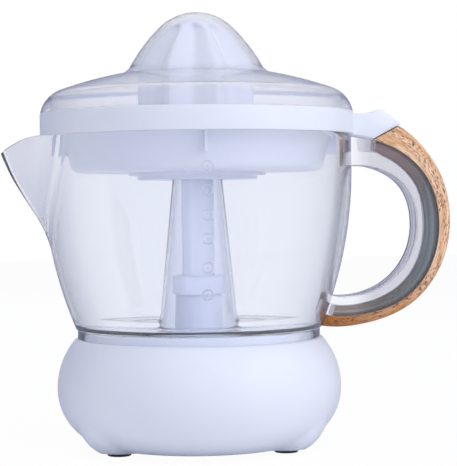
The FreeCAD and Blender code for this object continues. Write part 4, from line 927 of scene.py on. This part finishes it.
def coneProfile(angle):
    share = ((angle + 90 - cone["ribTurn"]) * cone["ribs"] / 360) % 1.0
    across = max(0.0, (min(share, 1 - share) - cone["land"]) / (0.5 - cone["land"]))
    ridge = domeLine(lid["wall"] + cone["gap"], 18)
    rootRadius, rootHeight = ridge[-1]
    start = cone["facetTop"] - cone["arch"] * (1 - across) ** 2  # each facet ends in an arch
    outside = []
    for r, z in ridge:
        fade = min(1.0, max(0.0, (start - z) / cone["facetFade"]))
        fade = fade * fade * (3 - 2 * fade)
        outside.append((max(0.0, r + (facetRadius(r, across, cone["hollow"]) - r) * fade), z))
    for i in range(1, cone["skirtRows"] + 1):
        u = i / cone["skirtRows"]
        z = rootHeight + (cone["bottom"] - rootHeight) * u
        hollow = cone["hollow"] * (1 - cone["hollowFade"] * u)
        outside.append((facetRadius(rootRadius, across, hollow), z))
    six = hexRadius(cone["socket"], angle)
    inside = [(outside[-1][0], cone["bottom"], 0.5), (cone["bore"], cone["bottom"], 0.5),
              (cone["bore"], cone["boreTop"], 2.0), (cone["roof"], cone["roofTop"], 0),
              (cone["hub"], cone["roofTop"], 0.3), (cone["hub"], cone["hubBottom"], 0.5),
              (six, cone["hubBottom"], 0.3), (six, cone["socketTop"], 0), (0, cone["socketTop"], 0)]
    return rounded(sharp(outside[:-1]) + inside, 3, False)


coneMesh = polarMesh("reamingCone", evenAngles(cone["ribs"] * cone["columnsPerRib"]), coneProfile, False)
makePiece("reamingCone", coneMesh, "cone", glossAbs, ["reaming_cone"], 50)
print("lid and cone made")

# the nodes that stay as they are take a finish each
finishes = ((whiteAbs, ("base_plate",)), (blackRubber, ("cord_grommet",)), (groundFerrite, ("rotor_magnet",)),
            (drawnSteel, ("plate_screws", "gear_screws", "motor_screws", "idler_pin", "rotor_shaft",
                          "drive_shaft")),
            (naturalNylon, ("gear_tray", "gear_bridge", "idler_gear", "output_gear", "rotor_pinion",
                            "bobbin_front", "bobbin_back")),
            (coreSheets, ("stator_core",)), (copperWire, ("winding_front", "winding_back")),
            (zincSheet, ("motor_bracket_top", "motor_bracket_bottom")), (blackPlastic, ("switch_body",)),
            (satinAcetal, ("shaft_bush", "switch_pusher", "switch_plunger")))
for finish, nodeNames in finishes:
    for nodeName in nodeNames:
        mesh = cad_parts[nodeName].data
        mesh.materials.clear()
        mesh.materials.append(finish)
        mesh.shade_smooth()
        mesh.set_sharp_from_angle(angle=math.radians(30))

# studio: white floor and background; reflections see tall pale panels left and right, lavender between them
# panels are (bearing from the front in degrees, colour)
studio = {"floorSize": 6.0, "floor": "#ffffff", "shadowShare": 0.04, "backdrop": "#ffffff",
          "ambient": "#d9e0f5", "ambientStrength": 0.36, "zenith": "#f4f5fb", "zenithFrom": 0.3,
          "zenithFull": 0.9, "bounces": 24, "aim": (0, 0, 0.12),
          "panels": ((-180, "#8b8fae"), (-120, "#aeb2cb"), (-104, "#ffffff"), (-76, "#ffffff"),
                     (-64, "#bcc0d8"), (-15, "#b9bdd6"), (25, "#cdd1e4"), (42, "#ffffff"), (100, "#ffffff"),
                     (125, "#b9bcd2"), (180, "#8b8fae"))}
floorMesh = bpy.data.meshes.new("studioFloor")
half = studio["floorSize"] / 2
floorMesh.from_pydata([(-half, -half, 0), (half, -half, 0), (half, half, 0), (-half, half, 0)], [],
                      [(0, 1, 2, 3)])
floor = bpy.data.objects.new("studioFloor", floorMesh)
bpy.context.scene.collection.objects.link(floor)

# the eye and clear plastic see the floor as white with a share of its shadow; mirrors see past it
floorFinish = newMaterial("paintedStudioFloor")
paint = addNode(floorFinish, "BsdfDiffuse", values={"Color": hexColour(studio["floor"])})[0]
glow = addNode(floorFinish, "Emission", values={"Strength": 1.0})[0]
unseen = addNode(floorFinish, "BsdfTransparent")[0]
path = addNode(floorFinish, "LightPath")
seen = addNode(floorFinish, "Math", {"operation": "MAXIMUM"},
               links={0: path["Is Camera Ray"], 1: path["Is Transmission Ray"]})[0]
seen = addNode(floorFinish, "Math", {"operation": "MULTIPLY"}, {1: 1 - studio["shadowShare"]}, {0: seen})[0]
ground = addNode(floorFinish, "MixShader", links={0: path["Is Glossy Ray"], 1: paint, 2: unseen})[0]
ground = addNode(floorFinish, "MixShader", links={0: seen, 1: ground, 2: glow})[0]
addNode(floorFinish, "OutputMaterial", links={"Surface": ground})
floorMesh.materials.append(floorFinish)

# the world is the white backdrop to the eye, the panels to mirrors and an even light to the rest
world = bpy.data.worlds.new("studioWorld")
world.use_nodes = True
world.node_tree.nodes.clear()
path = addNode(world, "LightPath")
direction = addNode(world, "TexCoord")["Generated"]
parts = addNode(world, "SeparateXYZ", links={"Vector": direction})
front = addNode(world, "Math", {"operation": "MULTIPLY"}, {1: -1.0}, {0: parts["Y"]})[0]
bearing = addNode(world, "Math", {"operation": "ARCTAN2"}, links={0: parts["X"], 1: front})[0]
share = addNode(world, "MapRange", values={"From Min": -math.pi, "From Max": math.pi},
                links={"Value": bearing})[0]
panels = addNode(world, "ValToRGB", links={"Fac": share})[0]
setStops(panels.node, [(degrees / 360 + 0.5, code) for degrees, code in studio["panels"]])
high = addNode(world, "MapRange", values={"From Min": studio["zenithFrom"], "From Max": studio["zenithFull"]},
               links={"Value": parts["Z"]})[0]
around = addNode(world, "Mix", {"data_type": "RGBA"}, {7: hexColour(studio["zenith"])},
                 {0: high, 6: panels})[2]
mirrored = addNode(world, "Background", values={"Strength": 1.0}, links={"Color": around})[0]
white = addNode(world, "Background", values={"Color": hexColour(studio["backdrop"]), "Strength": 1.0})[0]
ambient = addNode(world, "Background", values={"Color": hexColour(studio["ambient"]),
                                               "Strength": studio["ambientStrength"]})[0]
seen = addNode(world, "Math", {"operation": "MAXIMUM"},
               links={0: path["Is Camera Ray"], 1: path["Is Transmission Ray"]})[0]
sky = addNode(world, "MixShader", links={0: path["Is Glossy Ray"], 1: ambient, 2: mirrored})[0]
sky = addNode(world, "MixShader", links={0: seen, 1: sky, 2: white})[0]
addNode(world, "OutputWorld", links={"Surface": sky})
bpy.context.scene.world = world
for kind in ("max_bounces", "transmission_bounces", "transparent_max_bounces"):
    setattr(bpy.context.scene.cycles, kind, studio["bounces"])

# lamps: place and size in metres, power in watts, and the pieces it is kept to, if any
lamps = {"keyRight": ((0.75, -0.75, 0.65), 0.9, 6.5, ()),
         "fillLeft": ((-0.95, -0.45, 0.45), 0.9, 1.4, ()),
         "front": ((-0.1, -1.3, 0.3), 0.9, 1.3, ()),
         "above": ((0.05, -0.35, 1.15), 0.9, 3.9, ()),
         "back": ((-0.4, 1.15, 0.95), 0.9, 5.0, ()),
         "boxLeft": ((-0.56, -0.86, 0.92), 0.14, 0.2, (housing,)),
         "boxRight": ((1.02, -0.25, 0.92), 0.2, 0.7, (housing,)),
         "strip": ((-0.85, -0.85, 0.12), 0.25, 1.6, (column,))}
for lampName, (spot, size, power, pieces) in lamps.items():
    light = bpy.data.lights.new(lampName, "AREA")
    light.size, light.energy = size, power
    lamp = bpy.data.objects.new(lampName, light)
    lamp.location = spot
    lamp.rotation_euler = (Vector(studio["aim"]) - Vector(spot)).to_track_quat("-Z", "Y").to_euler()
    lamp.visible_glossy = bool(pieces)  # only the small boxes show as highlights
    lamp.visible_transmission = False
    bpy.context.scene.collection.objects.link(lamp)
    if pieces:
        litPieces = bpy.data.collections.new(lampName)
        for piece in pieces:
            litPieces.objects.link(piece)
        lamp.light_linking.receiver_collection = litPieces

# camera: long lens from the front, a little to the spout's side and just above the middle; lengths in mm
view = {"lens": 130.5, "sensor": 36.0, "near": 10.0, "distance": 912.0, "azimuth": -3.5, "height": 132.9,
        "aim": (16.5, 115.5), "roll": -0.6}
right = polar(1.0, view["azimuth"])
back = polar(1.0, view["azimuth"] - 90)
spot = (Vector((axisX, 0, view["height"])) + back * view["distance"]) * mm
target = (Vector((axisX, 0, view["aim"][1])) + right * view["aim"][0]) * mm
lens = bpy.data.cameras.new("photoCamera")
lens.lens, lens.sensor_width, lens.clip_start = view["lens"], view["sensor"], view["near"] * mm
camera = bpy.data.objects.new("photoCamera", lens)
camera.location = spot
facing = (target - spot).to_track_quat("-Z", "Y").to_matrix()
roll = Matrix.Rotation(math.radians(view["roll"]), 3, "Z")
camera.rotation_euler = (facing @ roll).to_euler()
bpy.context.scene.collection.objects.link(camera)
bpy.context.scene.camera = camera
bpy.context.scene.view_settings.view_transform = "Standard"
print("studio and camera set")
